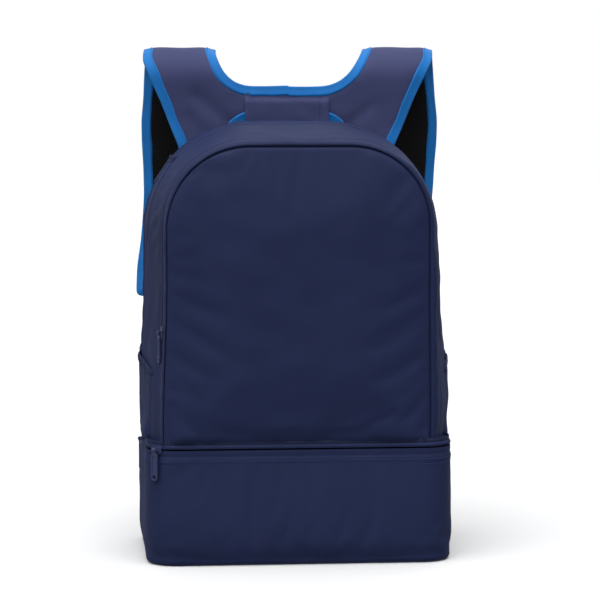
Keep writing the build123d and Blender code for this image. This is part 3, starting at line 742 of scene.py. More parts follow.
def upper_body():
    rear_edge = BACK_Y - 1.0
    ys = np.concatenate([
        [MAIN_ZIP_Y], steps(MAIN_ZIP_Y + ZIP_GAP, 5, MAIN_ZIP_Y + 11, 12, rear_edge - 10, 10, rear_edge),
    ])

    def seam_fold(points):
        y = points[..., 1]
        return 1.3 * smooth(y, rear_edge - 8, rear_edge - 5.5) - 1.1 * hump(y, rear_edge - 8.4, 1.4)

    rear = gusset_piece("rear_gusset_fabric", ys, [0], [MAIN_ZIP_Y], seam_fold)
    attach(rear, "bag")
    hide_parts("rear_gusset")

    ys = np.concatenate([
        [POCKET_ZIP_Y],
        steps(POCKET_ZIP_Y + ZIP_GAP, 5, POCKET_ZIP_Y + 11, 16, MAIN_ZIP_Y - 11, 5, MAIN_ZIP_Y - ZIP_GAP),
        [MAIN_ZIP_Y],
    ])
    front = gusset_piece("lid_gusset_fabric", ys, [0, len(ys) - 2], [MAIN_ZIP_Y, POCKET_ZIP_Y])
    with_lid(front)
    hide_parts("lid_gusset", "side_panel_left", "side_panel_right")


def arch_path(y, inset, spacing=1.6):
    """Line round the arch above the fold at one depth: points, outward directions, and the way back."""
    half_w, top, r = section_at(y)
    whole = 2 * (top - r - UPPER_BASE) + r * math.pi + 2 * (half_w - r)
    skip = FOLD_Z - UPPER_BASE
    s = np.linspace(skip, whole - skip, int((whole - 2 * skip) / spacing))
    xz, n = arch_points(half_w, top, r, UPPER_BASE, s)
    points = at_depth(xz, y)
    outward = at_depth(n, 0.0)
    points = points + outward * (body_push(points) - inset)[:, None]
    back = np.broadcast_to([0.0, 1.0, 0.0], points.shape)
    return points, outward, back


COIL_PITCH = 1.7


def coil_parts(points, outward, across):
    """One side of a zip's nylon coil: a thread wound into close loops."""
    line = resample(points, COIL_PITCH / 4)
    run, dense = along(points), along(line)
    out = unit(np.stack([np.interp(dense, run, outward[:, k]) for k in range(3)], axis=1))
    side = unit(np.stack([np.interp(dense, run, across[:, k]) for k in range(3)], axis=1))
    turn = dense / COIL_PITCH * 2 * math.pi
    size = 0.86 + 0.14 * np.cos(turn)
    profile = circle(1.0, 8, 0.78)[None] * size[:, None, None]
    return sweep_parts(line, side, out, profile)


def zip_half(name, points, outward, across, sign):
    """Tape and coil of one zip half. across points from the front half to the rear one."""
    side = across * sign
    centre = points + side * 4.6
    tape = np.array([[-3.4, -0.3], [3.9, -0.3], [3.9, 0.3], [-3.4, 0.3]])
    parts = [
        sweep_parts(centre, side, outward, tape),
        coil_parts(points + side * 1.75 + outward * 0.1, outward, side),
    ]
    joined, faces, uv = join_parts(parts)
    tape_faces = len(parts[0][1])
    indices = [0] * tape_faces + [1] * (len(faces) - tape_faces)
    made = make_object(name, joined, faces, uv, [zip_tape, coil], indices)
    return made


def arch_zips():
    plan = (
        ("main_zip_rear", MAIN_ZIP_Y, 1, "main_zip_rear_half", None),
        ("main_zip_front", MAIN_ZIP_Y, -1, "main_zip_front_half", with_lid),
        ("pocket_zip_rear", POCKET_ZIP_Y, 1, "pocket_zip_rear_half", with_lid),
        ("pocket_zip_front", POCKET_ZIP_Y, -1, "pocket_zip_front_half", with_flap),
    )
    for name, y, sign, node, follow in plan:
        points, outward, back = arch_path(y, ZIP_INSET)
        made = zip_half(name, points, outward, back, sign)
        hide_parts(node)
        if follow is None:
            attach(made, "bag")
        else:
            follow(made)


REAR_ROW_AWAY = 9.6       # from the back face to the row of thread along the rear seam


def gusset_stitches():
    """Rows of thread beside both arch zips and along the rear seam."""
    def row(y):
        points, outward, _ = arch_path(y, -0.05)
        return points, outward

    sewn_to_bag("rear_gusset_stitches", [row(MAIN_ZIP_Y + STITCH_ROW_AWAY), row(BACK_Y - REAR_ROW_AWAY)])
    rows = [row(MAIN_ZIP_Y - STITCH_ROW_AWAY), row(POCKET_ZIP_Y + STITCH_ROW_AWAY)]
    front = stitches("lid_gusset_stitches", rows, thread)
    with_lid(front)


# ---------------------------------------------------------------- front pocket panel
FACE_COUNTS = (24, 44, 62)
RIM = np.array([      # inset from the arch at its top, and depth, round the front edge into the seam
    [0.0, POCKET_ZIP_Y], [0.0, POCKET_ZIP_Y - ZIP_GAP], [-0.7, POCKET_ZIP_Y - 4.0],
    [-1.0, POCKET_ZIP_Y - 6.5], [-0.4, POCKET_ZIP_Y - 8.4], [-0.8, POCKET_ZIP_Y - 10.5],
    [-0.9, -75.0], [-0.8, -78.0], [-0.2, -80.6],
    [0.8, -82.8], [2.1, -84.4], [3.4, -85.0], [4.5, -84.6], [5.2, -83.3], [5.6, -82.2], [6.1, -83.6],
    [7.0, -85.4],
])
LEFT_INSET, RIGHT_INSET = 0.35, 1.0     # how much of the rim's inset is left down the sides
PANEL_BASE = DECK_Z + 0.2


def coons(bottom, top, left, right):
    """Patch between four lines. Rows go up, columns go from left to right."""
    u = np.linspace(0, 1, len(bottom))[None, :, None]
    v = np.linspace(0, 1, len(left))[:, None, None]
    ruled = (1 - v) * bottom[None] + v * top[None] + (1 - u) * left[:, None] + u * right[:, None]
    corners = ((1 - u) * (1 - v) * bottom[0] + u * (1 - v) * bottom[-1]
               + (1 - u) * v * top[0] + u * v * top[-1])
    return ruled - corners


def fill_arch(edge, counts):
    """Grid that fills an arch's outline, level up to the fold. Rows go up, columns go from left to right."""
    first, over = counts[0], counts[2]
    corner, last = first + counts[1], len(edge) - 1
    left, top_line = edge[first:corner + 1], edge[corner:corner + over + 1]
    right = edge[last - corner:last - first + 1][::-1]
    share = np.linspace(0, 1, over + 1)[:, None]
    fold = edge[first] + share * (edge[last - first] - edge[first])
    foot = edge[0] + share * (edge[last] - edge[0])
    upper = coons(fold, top_line, left, right)
    share = np.linspace(0, 1, first + 1)[:, None, None]
    below = (1 - share) * foot[None] + share * fold[None]
    below[:, 0], below[:, -1] = edge[:first + 1], edge[last - first:][::-1]
    return np.concatenate([below[:-1], upper])


def arch_edge(y, inset, base, counts):
    """Outline of the body's arch at one depth, as a line of stations."""
    half_w, top, r = (v - inset for v in section_at(y))
    s = arch_stations(half_w, top, r, base, counts)
    xz, _ = arch_points(half_w, top, r, base, s)
    return at_depth(xz, y)


def front_surface():
    """Points of the front panel with its rim, its quads, flat coordinates, and which points are sewn down."""
    lower = FACE_COUNTS[0]
    rings, flats = [], []
    unrolled = along(RIM)[::-1] * -1 + along(RIM)[-1]
    for (inset, y), out in zip(RIM, unrolled):
        shape = section_at(y)
        s = arch_stations(*shape, PANEL_BASE, FACE_COUNTS)
        xz, n = arch_points(*shape, PANEL_BASE, s)
        points = at_depth(xz, y)
        outward = at_depth(n, 0.0)
        amount = (body_push(points) - flare(points) * np.abs(points[:, 0])) * smooth(inset, 6, 0)
        down_side = np.where(xz[:, 0] < 0, LEFT_INSET, RIGHT_INSET)
        amount = amount - inset * (down_side + (1 - down_side) * np.maximum(n[:, 1], 0))
        rings.append(points + outward * amount[:, None])
        flats.append(xz + n * (out - (RIM[-1][0] - inset)))
    edge = rings[-1]
    face = fill_arch(edge, FACE_COUNTS)
    ring_points = np.array(rings[:-1])
    count = ring_points.shape[0] * ring_points.shape[1]
    rows, cols = face.shape[:2]
    points = np.concatenate([ring_points.reshape(-1, 3), face.reshape(-1, 3)])
    uv = np.concatenate([np.array(flats[:-1]).reshape(-1, 2), face[..., [0, 2]].reshape(-1, 2)])
    index = count + np.arange(rows * cols).reshape(rows, cols)
    boundary = np.concatenate([index[:, 0], index[-1, 1:-1], index[::-1, -1]])
    ring_index = np.arange(count).reshape(len(rings) - 1, -1)
    all_rings = np.concatenate([ring_index, boundary[None]])
    above = fold_columns(FACE_COUNTS)
    keep = np.ones((len(rings) - 1, len(edge) - 1), bool)
    keep[0, above] = False
    corners = [all_rings[:-1, :-1], all_rings[1:, :-1], all_rings[1:, 1:], all_rings[:-1, 1:]]
    ring_quads = np.stack(corners, axis=-1)
    high_ring = np.broadcast_to(above[None], keep.shape)[keep]
    ring_quads = ring_quads[keep]
    face_quads = np.stack([index[:-1, :-1], index[:-1, 1:], index[1:, 1:], index[1:, :-1]], axis=-1)
    high_face = np.zeros(face_quads.shape[:2], bool)
    high_face[lower:] = True
    quads = np.concatenate([ring_quads, face_quads.reshape(-1, 4)])
    upper_part = np.concatenate([high_ring, high_face.ravel()])
    points[:, 0] *= 1 + flare(points)
    held = np.ones(len(points), bool)
    held[index[1:-1, 1:-1].ravel()] = False
    return points, quads, uv, held, upper_part


def face_shape(points):
    """Slow crown, corner dents and the gathered lower edge of the pocket's face."""
    x, z = points[:, 0], points[:, 2]
    edge = np.minimum(FRONT_HALF_W - 2 - np.abs(x), np.minimum(z - PANEL_BASE, FRONT_TOP - 7 - z))
    corner = np.hypot(np.maximum(np.abs(x) - 49, 0), np.maximum(z - 330, 0))
    edge = np.minimum(edge, 77 - corner)
    inside = smooth(edge, 0, 22)
    crown = 6.2 * smooth(edge, 0, 85) + 2.6 * smooth(edge, 0, 9)
    dents = 2.2 * hump(np.hypot(x + 88, (z - 388) * 1.6), 0, 17)
    dents = dents + 2.0 * hump(np.hypot(x - 108, z - 372), 0, 14)
    soft = 0.9 * waves(points, 95, 11) + 0.35 * waves(points, 38, 12)
    gather = smooth(z, 152, 122) * (1.1 * np.sin(x / 7.5 + 1.2 * np.sin(x / 19)) + 0.8 * np.sin(x / 17 + 2))
    pouches = 2.6 * hump(np.hypot((x - 88) / 1.7, z - 133), 0, 11)
    pouches = pouches + 2.0 * hump(np.hypot((x + 112) / 1.3, z - 130), 0, 9)
    pleats = 2.2 * hump(x, 117, 3.2) * smooth(z, 152, 128)
    pleats = pleats + 1.6 * hump(x - 0.5 * (z - 120), -98, 2.6) * smooth(z, 138, 124)
    low_edge = 1.8 * smooth(z, 132, 121)
    near = smooth(edge, 0, 3)
    return crown - dents * inside + (soft + 0.8 * gather) * inside + (pouches - pleats + low_edge) * near


def pocket_front():
    points, quads, uv, held, upper_part = front_surface()
    free = ~held
    points[free, 1] -= face_shape(points[free])
    points = settle(points, quads, held, pressure=2.0, growth=0.004, frames=20, cap=3.0, gravity=0.05)
    normals = vertex_normals(points, quads)
    for node, part, follow, flat in (
        ("pocket_panel_lower", quads[~upper_part], with_lid, POCKET_LOWER_FLAT),
        ("pocket_panel_upper", quads[upper_part], with_flap, POCKET_UPPER_FLAT),
    ):
        made = shell(node + "_fabric", points, part, uv, CLOTH_T, fabric, lining, normals)
        follow(made)
        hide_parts(node)


# ---------------------------------------------------------------- inside the bag
INNER_COUNTS = (12, 22, 30)


def interior():
    edge = arch_edge(PARTITION_Y + 1, 3.0, DECK_TOP, INNER_COUNTS)
    grid = fill_arch(edge, INNER_COUNTS)
    grid[1:-1, 1:-1, 1] += 1.6 * waves(grid[1:-1, 1:-1], 85, 21) + 0.6 * waves(grid[1:-1, 1:-1], 33, 22)
    rows, cols = grid.shape[:2]
    points = grid.reshape(-1, 3)
    made = shell("pocket_partition", points, grid_quads(rows, cols), points[:, [0, 2]], 0.8, lining, lining)
    with_lid(made)
    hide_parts("partition_lower", "lid_partition")

    edge = arch_edge(LINING_Y + 0.6, 1.6, DECK_TOP, INNER_COUNTS)
    grid = fill_arch(edge, INNER_COUNTS)
    grid[1:-1, 1:-1, 1] -= 0.8 + 0.8 * waves(grid[1:-1, 1:-1], 70, 23)
    points = grid.reshape(-1, 3)
    made = shell("back_lining_sheet", points, grid_quads(rows, cols), points[:, [0, 2]], 0.6, lining, lining)
    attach(made, "bag")
    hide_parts("back_lining")


# ---------------------------------------------------------------- the base and its shoe compartment
def base_half_width(y, inset=0.0):
    """Half width of the base at depth y, round at its front corners."""
    r = BASE_CORNER_R - inset
    ahead = np.clip(BASE_FRONT_Y + BASE_CORNER_R - np.asarray(y, float), 0, r)
    return BASE_HALF_W - BASE_CORNER_R + np.sqrt(np.maximum(r * r - ahead * ahead, 0))


def base_line(spacing=3.2):
    """Line round the base, rear left corner to rear right by the front, and the way it faces."""
    side, front = BASE_HALF_W, BASE_FRONT_Y
    turn = np.linspace(0, math.pi / 2, 40)
    centre = np.array([-(side - BASE_CORNER_R), front + BASE_CORNER_R])
    corner = centre + BASE_CORNER_R * np.stack([-np.cos(turn), -np.sin(turn)], axis=1)
    rear_r = 4.0
    rear_centre = np.array([-(side - rear_r), BACK_Y - rear_r])
    rear = rear_centre + rear_r * np.stack([-np.sin(turn), np.cos(turn)], axis=1)
    left = np.concatenate([rear, corner, [[0, front]]])
    line = resample(np.concatenate([left, left[:-1][::-1] * [-1, 1]]), spacing)
    tangent = unit(np.gradient(line, axis=0))
    return line, np.stack([tangent[:, 1], -tangent[:, 0]], axis=1)


def base_push(x, y, z):
    """How far the base's soft wall stands out."""
    middle = smooth(z, 2, 24) * (1 - smooth(z, 96, 112))
    side = (2.2 - 1.2 * (x > 0)) * middle * smooth(np.abs(x), 135, 149) * hump(y, 45, 50)
    front = 4.2 * smooth(z, 3, 22) * (1 - smooth(z, 36, 104)) * smooth(y, -62, -84) * hump(x, 0, 165)
    points = np.stack([x, y, z], axis=-1)
    edge = smooth(z, 6, 26) * (1 - smooth(z, 88, 104))
    folds = (0.9 * waves(points * [1, 1, 0.6], 75, 31) + 0.35 * waves(points, 28, 32)) * edge
    hem = 0.5 * smooth(z, 98.5, 100.5) * (1 - smooth(z, 105.5, 107.5)) - 0.6 * hump(z, 106.8, 1.0)
    low = 0.5 * np.sin(x / 23 + y / 31) * (1 - smooth(z, 5, 22))
    return side + front + folds + hem + low


def wall_grid(zs, profile=None):
    """Grid of the base's wall at these heights. profile gives an inset for each row."""
    line, facing = base_line()
    grid = np.empty((len(zs), len(line), 3))
    for k, z in enumerate(zs):
        push = base_push(line[:, 0], line[:, 1], np.full(len(line), float(z)))
        inset = 0.0 if profile is None else profile[k]
        grid[k, :, :2] = line + facing * (push - inset)[:, None]
        grid[k, :, 2] = z
    return grid, facing


WALL_FOOT_Z = 4.4


def base_wall():
    lip = SHOE_ZIP_Z - ZIP_GAP
    zs = np.concatenate([steps(WALL_FOOT_Z, 2, 8, 24, 96, 12, lip), [SHOE_ZIP_Z]])
    grid, facing = wall_grid(zs)
    rows, cols = grid.shape[:2]
    keep = np.ones((rows - 1, cols - 1), bool)
    zipped = grid[0, :-1, 1] < SHOE_ZIP_END_Y
    keep[-1, zipped] = False
    points = grid.reshape(-1, 3)
    line_run = along(grid[0])
    uv = np.stack(np.broadcast_arrays(line_run[None, :], zs[:, None]), axis=-1).reshape(-1, 2)
    quads = grid_quads(rows, cols)
    held = np.zeros((rows, cols), bool)
    held[:2] = held[-11:] = True
    held[:, :3] = held[:, -3:] = True
    held |= (grid[..., 1] > -20) & (grid[..., 1] < 20) & (grid[..., 2] > 85) & (grid[..., 0] < 0)
    settled = settle(
        points, quads, held.ravel(), pressure=1.2, growth=0.003, frames=18, cap=2.0, gravity=0.05,
    )
    normals = vertex_normals(settled, quads)
    made = shell("shoe_wall", settled, quads[keep.ravel()], uv, CLOTH_T, fabric, lining, normals)
    with_shoe_flap(made)
    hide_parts("shoe_flap_wall", "shoe_side_left", "shoe_side_right")
    thread_rows = []
    front = slice(int(cols * 0.08), int(cols * 0.92))
    for z in (102.6, 98.0):
        push = base_push(grid[0, :, 0], grid[0, :, 1], np.full(cols, z))
        line = base_line()[0] + facing * (push + 0.05)[:, None]
        row = np.concatenate([line, np.full((cols, 1), z)], axis=1)[front]
        out = np.concatenate([facing, np.zeros((cols, 1))], axis=1)[front]
        thread_rows.append((row, out))
    row = stitches("shoe_wall_stitches", thread_rows, thread)
    with_shoe_flap(row)


def base_ledge():
    """Fabric above the shoe zip, which turns in over the compartment's top to the body's foot."""
    zs = [SHOE_ZIP_Z, SHOE_ZIP_Z + ZIP_GAP, 116.4, 117.5, 118.3, 118.8, 119.0, 118.8, 118.5]
    insets = [0.0, 0.0, -0.3, 0.0, 0.8, 2.2, 5.0, 14.0, 26.0]
    grid, _ = wall_grid(zs, insets)
    rows, cols = grid.shape[:2]
    keep = np.ones((rows - 1, cols - 1), bool)
    keep[0, grid[0, :-1, 1] < SHOE_ZIP_END_Y] = False
    run = along(grid[0])
    out = np.array(insets) + np.array(zs)
    uv = np.stack(np.broadcast_arrays(run[None, :], out[:, None]), axis=-1).reshape(-1, 2)
    made = shell("base_ledge", grid.reshape(-1, 3), grid_quads(rows, cols, keep), uv, 0.9, fabric, lining)
    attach(made, "bag")


def base_sheet(height, inset, ys, us):
    """Grid across the base at heights that depend on the distance from its edge."""
    grid = np.zeros((len(ys), len(us), 3))
    for k, y in enumerate(ys):
        half = base_half_width(y, inset)
        grid[k, :, 0] = us * float(half)
        grid[k, :, 1] = y
    x, y = np.abs(grid[..., 0]), grid[..., 1]
    dx, dy = BASE_HALF_W - inset - x, y - (BASE_FRONT_Y + inset)
    corner_x, corner_y = x - (BASE_HALF_W - BASE_CORNER_R), (BASE_FRONT_Y + BASE_CORNER_R) - y
    in_corner = (corner_x > 0) & (corner_y > 0)
    edge = np.where(in_corner, BASE_CORNER_R - inset - np.hypot(corner_x, corner_y), np.minimum(dx, dy))
    edge = np.minimum(edge, BACK_Y - inset - y)
    grid[..., 2] = height(np.maximum(edge, 0), grid)
    return grid


def floors():
    near_edge = 1 - np.array([0, 0.003, 0.008, 0.016, 0.027, 0.045, 0.08])
    us = np.concatenate([-near_edge, np.linspace(-0.86, 0.86, 30), near_edge[::-1]])
    front = BASE_FRONT_Y + 0.05
    ys = np.concatenate([
        front + np.array([0, 0.3, 1.0, 2.2, 4.0, 7.0, 11.0, 16.0, 22.0, 29.0]), np.linspace(-52, 68, 22),
        BACK_Y - np.array([8.0, 5.0, 3.0, 1.5, 0.5, 0.05]),
    ])

    def under(edge, grid):
        curve = 5.0 - np.sqrt(np.maximum(25.0 - (5.0 - np.minimum(edge, 5.0)) ** 2, 0))
        return 0.15 + curve + 0.35 * (1 + waves(grid * [1, 1, 0], 90, 41)) * smooth(edge, 5, 25)

    grid = base_sheet(under, 0.0, ys, us)
    points = grid.reshape(-1, 3)
    quads = grid_quads(*grid.shape[:2], flip=True)
    made = shell("base_floor_fabric", points, quads, points[:, :2], 1.8, fabric, lining)
    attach(made, "bag")
    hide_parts("base_floor")

    def over(edge, grid):
        return DECK_TOP - 1.2 + 0.5 * waves(grid * [1, 1, 0], 60, 42) * smooth(edge, 4, 20)

    near_front = BASE_FRONT_Y + 2 + np.array([0.05, 0.6, 2, 5, 9, 14, 20])
    ys = np.concatenate([near_front, np.linspace(-60, LINING_Y, 20)])
    grid = base_sheet(over, 2.0, ys, np.linspace(-1, 1, 40))
    points = grid.reshape(-1, 3)
    made = shell("divider_sheet", points, grid_quads(*grid.shape[:2]), points[:, :2], 1.0, lining, lining)
    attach(made, "bag")
    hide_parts("divider_floor")


def shoe_zips():
    line, facing = base_line(1.6)
    zipped = line[:, 1] < SHOE_ZIP_END_Y
    line, facing = line[zipped], facing[zipped]
    push = base_push(line[:, 0], line[:, 1], np.full(len(line), SHOE_ZIP_Z)) - ZIP_INSET
    flat = line + facing * push[:, None]
    points = np.concatenate([flat, np.full((len(flat), 1), SHOE_ZIP_Z)], axis=1)
    outward = np.concatenate([facing, np.zeros((len(flat), 1))], axis=1)
    up = np.broadcast_to([0.0, 0.0, 1.0], points.shape)
    upper = zip_half("shoe_zip_upper", points, outward, up, 1)
    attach(upper, "bag")
    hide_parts("shoe_zip_upper_half")
    lower = zip_half("shoe_zip_lower", points, outward, up, -1)
    with_shoe_flap(lower)
    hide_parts("shoe_zip_lower_half", "shoe_zip_side_halves")


# ---------------------------------------------------------------- side pockets
def side_pocket(side, word):
    """Pouch against one side of the body, with its slanted elastic mouth."""
    us, vs = np.linspace(0, 1, 34), np.linspace(0, 1, 26)
    y = POCKET_FRONT_Y + (POCKET_BACK_Y - POCKET_FRONT_Y) * us[None, :]
    mouth = high("pocket_hems")[2] - 18 * (1 - us[None, :])
    z = POCKET_LOW_Z - 3 + (mouth - POCKET_LOW_Z + 3) * vs[:, None]
    y = np.broadcast_to(y, z.shape)
    half = np.array([section_at(v)[0] for v in y[0]])[None, :]
    wall = np.stack([side * np.broadcast_to(half, z.shape), y, z], axis=-1)
    wall_x = half + body_push(wall)
    shape = np.clip(np.sin(math.pi * us), 0, 1)[None, :] ** 0.5 * np.ones_like(z)
    near_foot = 1 - smooth(z, POCKET_LOW_Z - 2, POCKET_LOW_Z + 26)
    low_part = np.clip(BASE_HALF_W + 0.5 - wall_x, 0, 8) * near_foot
    low_part = low_part * (smooth(us, 0, 0.14) * smooth(us, 1, 0.86))[None, :]
    gather = 0.5 * np.sin(y / 3.1 + np.sin(y / 11)) * smooth(z, mouth - 22, mouth - 6)
    slack = 0.6 * waves(wall, 34, 51) * shape
    x = wall_x - 0.6 + 3.0 * shape + low_part + (gather + slack) * shape
    points = np.stack([side * x, y, z], axis=-1)
    grid = points.reshape(-1, 3)
    uv = np.stack([y.ravel(), z.ravel()], axis=1)
    quads = grid_quads(*z.shape, flip=side < 0)
    made = shell(f"side_pocket_{word}_fabric", grid, quads, uv, 0.9, fabric, lining)
    with_lid(made)
    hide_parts(f"side_pocket_{word}")

    line = points[-1]
    outward = np.broadcast_to([side * 1.0, 0, 0], line.shape)
    up = unit(np.cross(outward, np.gradient(line, axis=0)))
    up = up * np.sign(up[:, 2:3])
    ruffle = 1 + 0.16 * np.sin(line[:, 1] / 2.6 + 1.3 * np.sin(line[:, 1] / 9))
    corner = np.array([[-1, -8], [0.5, -8.2], [1.2, -6], [1.4, -2], [0.9, 0.6], [-0.4, 0.8], [-1.1, -2]])
    profile = corner[None] * np.stack([ruffle, np.ones_like(ruffle)], axis=1)[:, None, :]
    return line, outward, up, profile


def side_pockets():
    for side, word in ((-1, "left"), (1, "right")):
        line, outward, up, profile = side_pocket(side, word)
        hem = sweep(f"pocket_hem_{word}", line, outward, up, profile, trim)
        with_lid(hem)
        if word == "left":
            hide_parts("pocket_hems")


# ---------------------------------------------------------------- padded back panel
PANEL_COUNTS = (66, 56, 92)
CHANNEL_X, CHANNEL_ZS, CHANNEL_TOP = 50.0, (135.0, 255.0), 362.0
LEG_X, LEG_FOOT_Z = (48.0, 108.0), 366.0      # where the yoke's legs lie on the panel
ANCHOR_X, ANCHOR_ZS = 108.0, (98.0, 172.0)


def panel_hold(points):
    """Distance from points of the back panel to what holds it flat: edge, channels, legs, patches."""
    x, z = np.abs(points[:, 0]), points[:, 2]
    outline = arch_edge(BACK_Y, 0.0, 3.0, PANEL_COUNTS)[:, [0, 2]]
    edge = np.min(np.hypot(points[:, :1] - outline[:, 0], points[:, 2:] - outline[:, 1]), axis=1)
    edge = np.minimum(edge, z - 3)
    upright = np.hypot(x - CHANNEL_X, np.maximum(z - CHANNEL_TOP, 0))
    level = np.min([np.abs(z - channel) for channel in CHANNEL_ZS], axis=0)
    leg = np.hypot(np.maximum(np.maximum(LEG_X[0] - x, x - LEG_X[1]), 0), np.maximum(LEG_FOOT_Z - z, 0))
    out_of_patch = np.maximum(np.maximum(ANCHOR_ZS[0] - z, z - ANCHOR_ZS[1]), 0)
    patch = np.hypot(np.maximum(ANCHOR_X - x, 0), out_of_patch)
    return np.min([edge, upright, level, leg, patch], axis=0)


def back_panel():
    grid = fill_arch(arch_edge(BACK_Y - 1.0, 1.4, 3.4, PANEL_COUNTS), PANEL_COUNTS)
    rows, cols = grid.shape[:2]
    points = grid.reshape(-1, 3)
    hold = panel_hold(points)
    points[:, 1] += 3.0 * (1 - np.exp(-((hold / 9) ** 2))) + 0.5 * smooth(hold, 0, 4)
    quads = grid_quads(rows, cols, flip=True)
    points = settle(points, quads, hold < 2.4, pressure=2.5, growth=0.012, frames=16, cap=2.2)
    under = points * [1, 0, 1] + [0, LINING_Y + 2.2, 0]
    made = shell("back_mesh_pad", points, quads, points[:, [0, 2]], 8.0, mesh_fabric, foam, under=under)
    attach(made, "bag")
    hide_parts("back_mesh_cover", "back_foam")
    rows = []
    lines = [((side * CHANNEL_X, 12), (side * CHANNEL_X, CHANNEL_TOP)) for side in (-1, 1)]
    lines += [((-138, z), (138, z)) for z in CHANNEL_ZS]
    for start, end in lines:
        line = resample(np.array([start, end], float), 3.0)
        line = np.stack([line[:, 0], np.full(len(line), BACK_Y - 0.7), line[:, 1]], axis=1)
        rows.append((line, np.broadcast_to([0.0, 1.0, 0.0], line.shape)))
    sewn_to_bag("back_panel_stitches", rows, pitch=3.5, length=2.4)


# ---------------------------------------------------------------- harness: yoke, straps and their bindings
RISE, TURN = SEAM_Z - YOKE_ROOT_Z, math.pi * LOOP_R
DROP, BEND = SEAM_Z - BEND_Z, BEND_R * FOOT_LEAN
LOOP_TOP, PAD_RUN = RISE + TURN / 2, RISE + TURN + DROP + BEND + FOOT_RUN
JOIN_X = 46.0             # the yoke's legs meet its bridge here
STRAP_MIDDLE_X = 121.0

# Edges seen from the front, as height and distance from the middle, up the yoke and down behind.
NEAR_OUTER = ((372, 104), (402, 110), (446, 128), (490, 148))
FAR_OUTER = ((488, 150), (430, 155), (340, 151), (300, 151), (262, 153), (249, 154))
LEG_INNER = ((372, 52), (400, 56), (414, 58), (423, 53), (429, 42), (429, 0))
NECK = ((463.5, 0), (463.5, 42), (468, 55), (478, 66), (490, 73), (498, 77))
FAR_INNER = ((490, 79), (450, 84), (400, 92), (320, 97), (262, 103), (249, 105))


def loop_place(s):
    """Middle of the padded loop at distance s from its root, and which way its outer face looks."""
    s = np.asarray(s, float)
    over = np.clip((s - RISE) / LOOP_R, 0, math.pi)
    down = np.clip(s - RISE - TURN, 0, DROP)
    lean = np.clip((s - RISE - TURN - DROP) / BEND_R, 0, FOOT_LEAN)
    foot = np.maximum(s - RISE - TURN - DROP - BEND, 0)
    y = HARNESS_Y + LOOP_R * (1 - np.cos(over)) - BEND_R * (1 - np.cos(lean)) - foot * math.sin(FOOT_LEAN)
    z = (YOKE_ROOT_Z + np.minimum(s, RISE) + LOOP_R * np.sin(over) - down
         - BEND_R * np.sin(lean) - foot * math.cos(FOOT_LEAN))
    ny = np.where(over < math.pi, -np.cos(over), np.cos(lean))
    nz = np.where(over < math.pi, np.sin(over), -np.sin(lean))
    none = np.zeros_like(y)
    return np.stack([none, y, z], axis=-1), np.stack([none, ny, nz], axis=-1)


def loop_run(z, near):
    """Distance along the loop at height z, on its near or its far side."""
    over = LOOP_R * math.asin(max(0.0, min(1.0, (z - SEAM_Z) / LOOP_R)))
    if near:
        return min(z, SEAM_Z) - YOKE_ROOT_Z + over
    knee = BEND_Z - BEND_R * math.sin(FOOT_LEAN)
    lean = math.asin(max(0.0, BEND_Z - max(z, knee)) / BEND_R)
    foot = max(0.0, knee - z) / math.cos(FOOT_LEAN)
    return min(RISE + TURN - over + max(0.0, SEAM_Z - max(z, BEND_Z)) + BEND_R * lean + foot, PAD_RUN)


def flat_line(near, far, reach):
    """Smoothed edge on the flat pattern, whose coordinates are X and the distance along the loop."""
    points = [(x, loop_run(z, True)) for z, x in near] + [(x, loop_run(z, False)) for z, x in far]
    if far:
        points[-1] = (points[-1][0], PAD_RUN)
        points.append((STRAP_MIDDLE_X, PAD_RUN))
    return rounded(points, reach)


OUTER_LINE = flat_line(NEAR_OUTER, FAR_OUTER, 11)
INNER_LINE = flat_line(NECK, FAR_INNER, 11)
LOWER_LINE = flat_line(LEG_INNER, (), 9)


def pad_thickness(distance):
    return PAD_EDGE_T + (PAD_T - PAD_EDGE_T) * (1 - np.exp(-((np.maximum(distance, 0) / 7) ** 2)))


STRAP_SWAY = 8.0


def crease(x, s, start, end, width):
    """1 along a crease between two places on the flat pattern, falling off to its sides and past its ends."""
    start, end = np.array(start, float), np.array(end, float)
    reach = end - start
    share = ((x - start[0]) * reach[0] + (s - start[1]) * reach[1]) / (reach @ reach)
    share = np.clip(share, 0, 1)
    return hump(np.hypot(x - start[0] - share * reach[0], s - start[1] - share * reach[1]), 0, width)


def pad_point(x, s, thickness, shift):
    """Places in the padded loop. shift is the distance outward from its middle, and can be below 0."""
    centre, normal = loop_place(s)
    flat = np.stack([x, s, np.zeros_like(x)], axis=-1)
    soft = 0.9 * waves(flat, 85, 61) + 0.35 * waves(flat, 34, 62)
    soft = soft * smooth(s, 55, 85) * (1 - 0.6 * smooth(s, PAD_RUN - 40, PAD_RUN))
    near = 1 - smooth(s, 85, 110)
    dents = 2.4 * crease(x, s, (-92, 82), (-60, 54), 7) + 1.8 * crease(x, s, (64, 52), (84, 70), 6)
    dents = dents + 1.2 * crease(x, s, (-100, 60), (-84, 40), 6) + 1.2 * crease(x, s, (96, 74), (104, 50), 6)
    root = (PAD_T - thickness) / 2 * (1 - smooth(s, 30, 62))
    out = centre + normal * (shift + soft - dents * near + root)[..., None]
    out[..., 0] = x + STRAP_SWAY * smooth(s, 85, 185) * (1 - smooth(s, 300, 395))
    return out


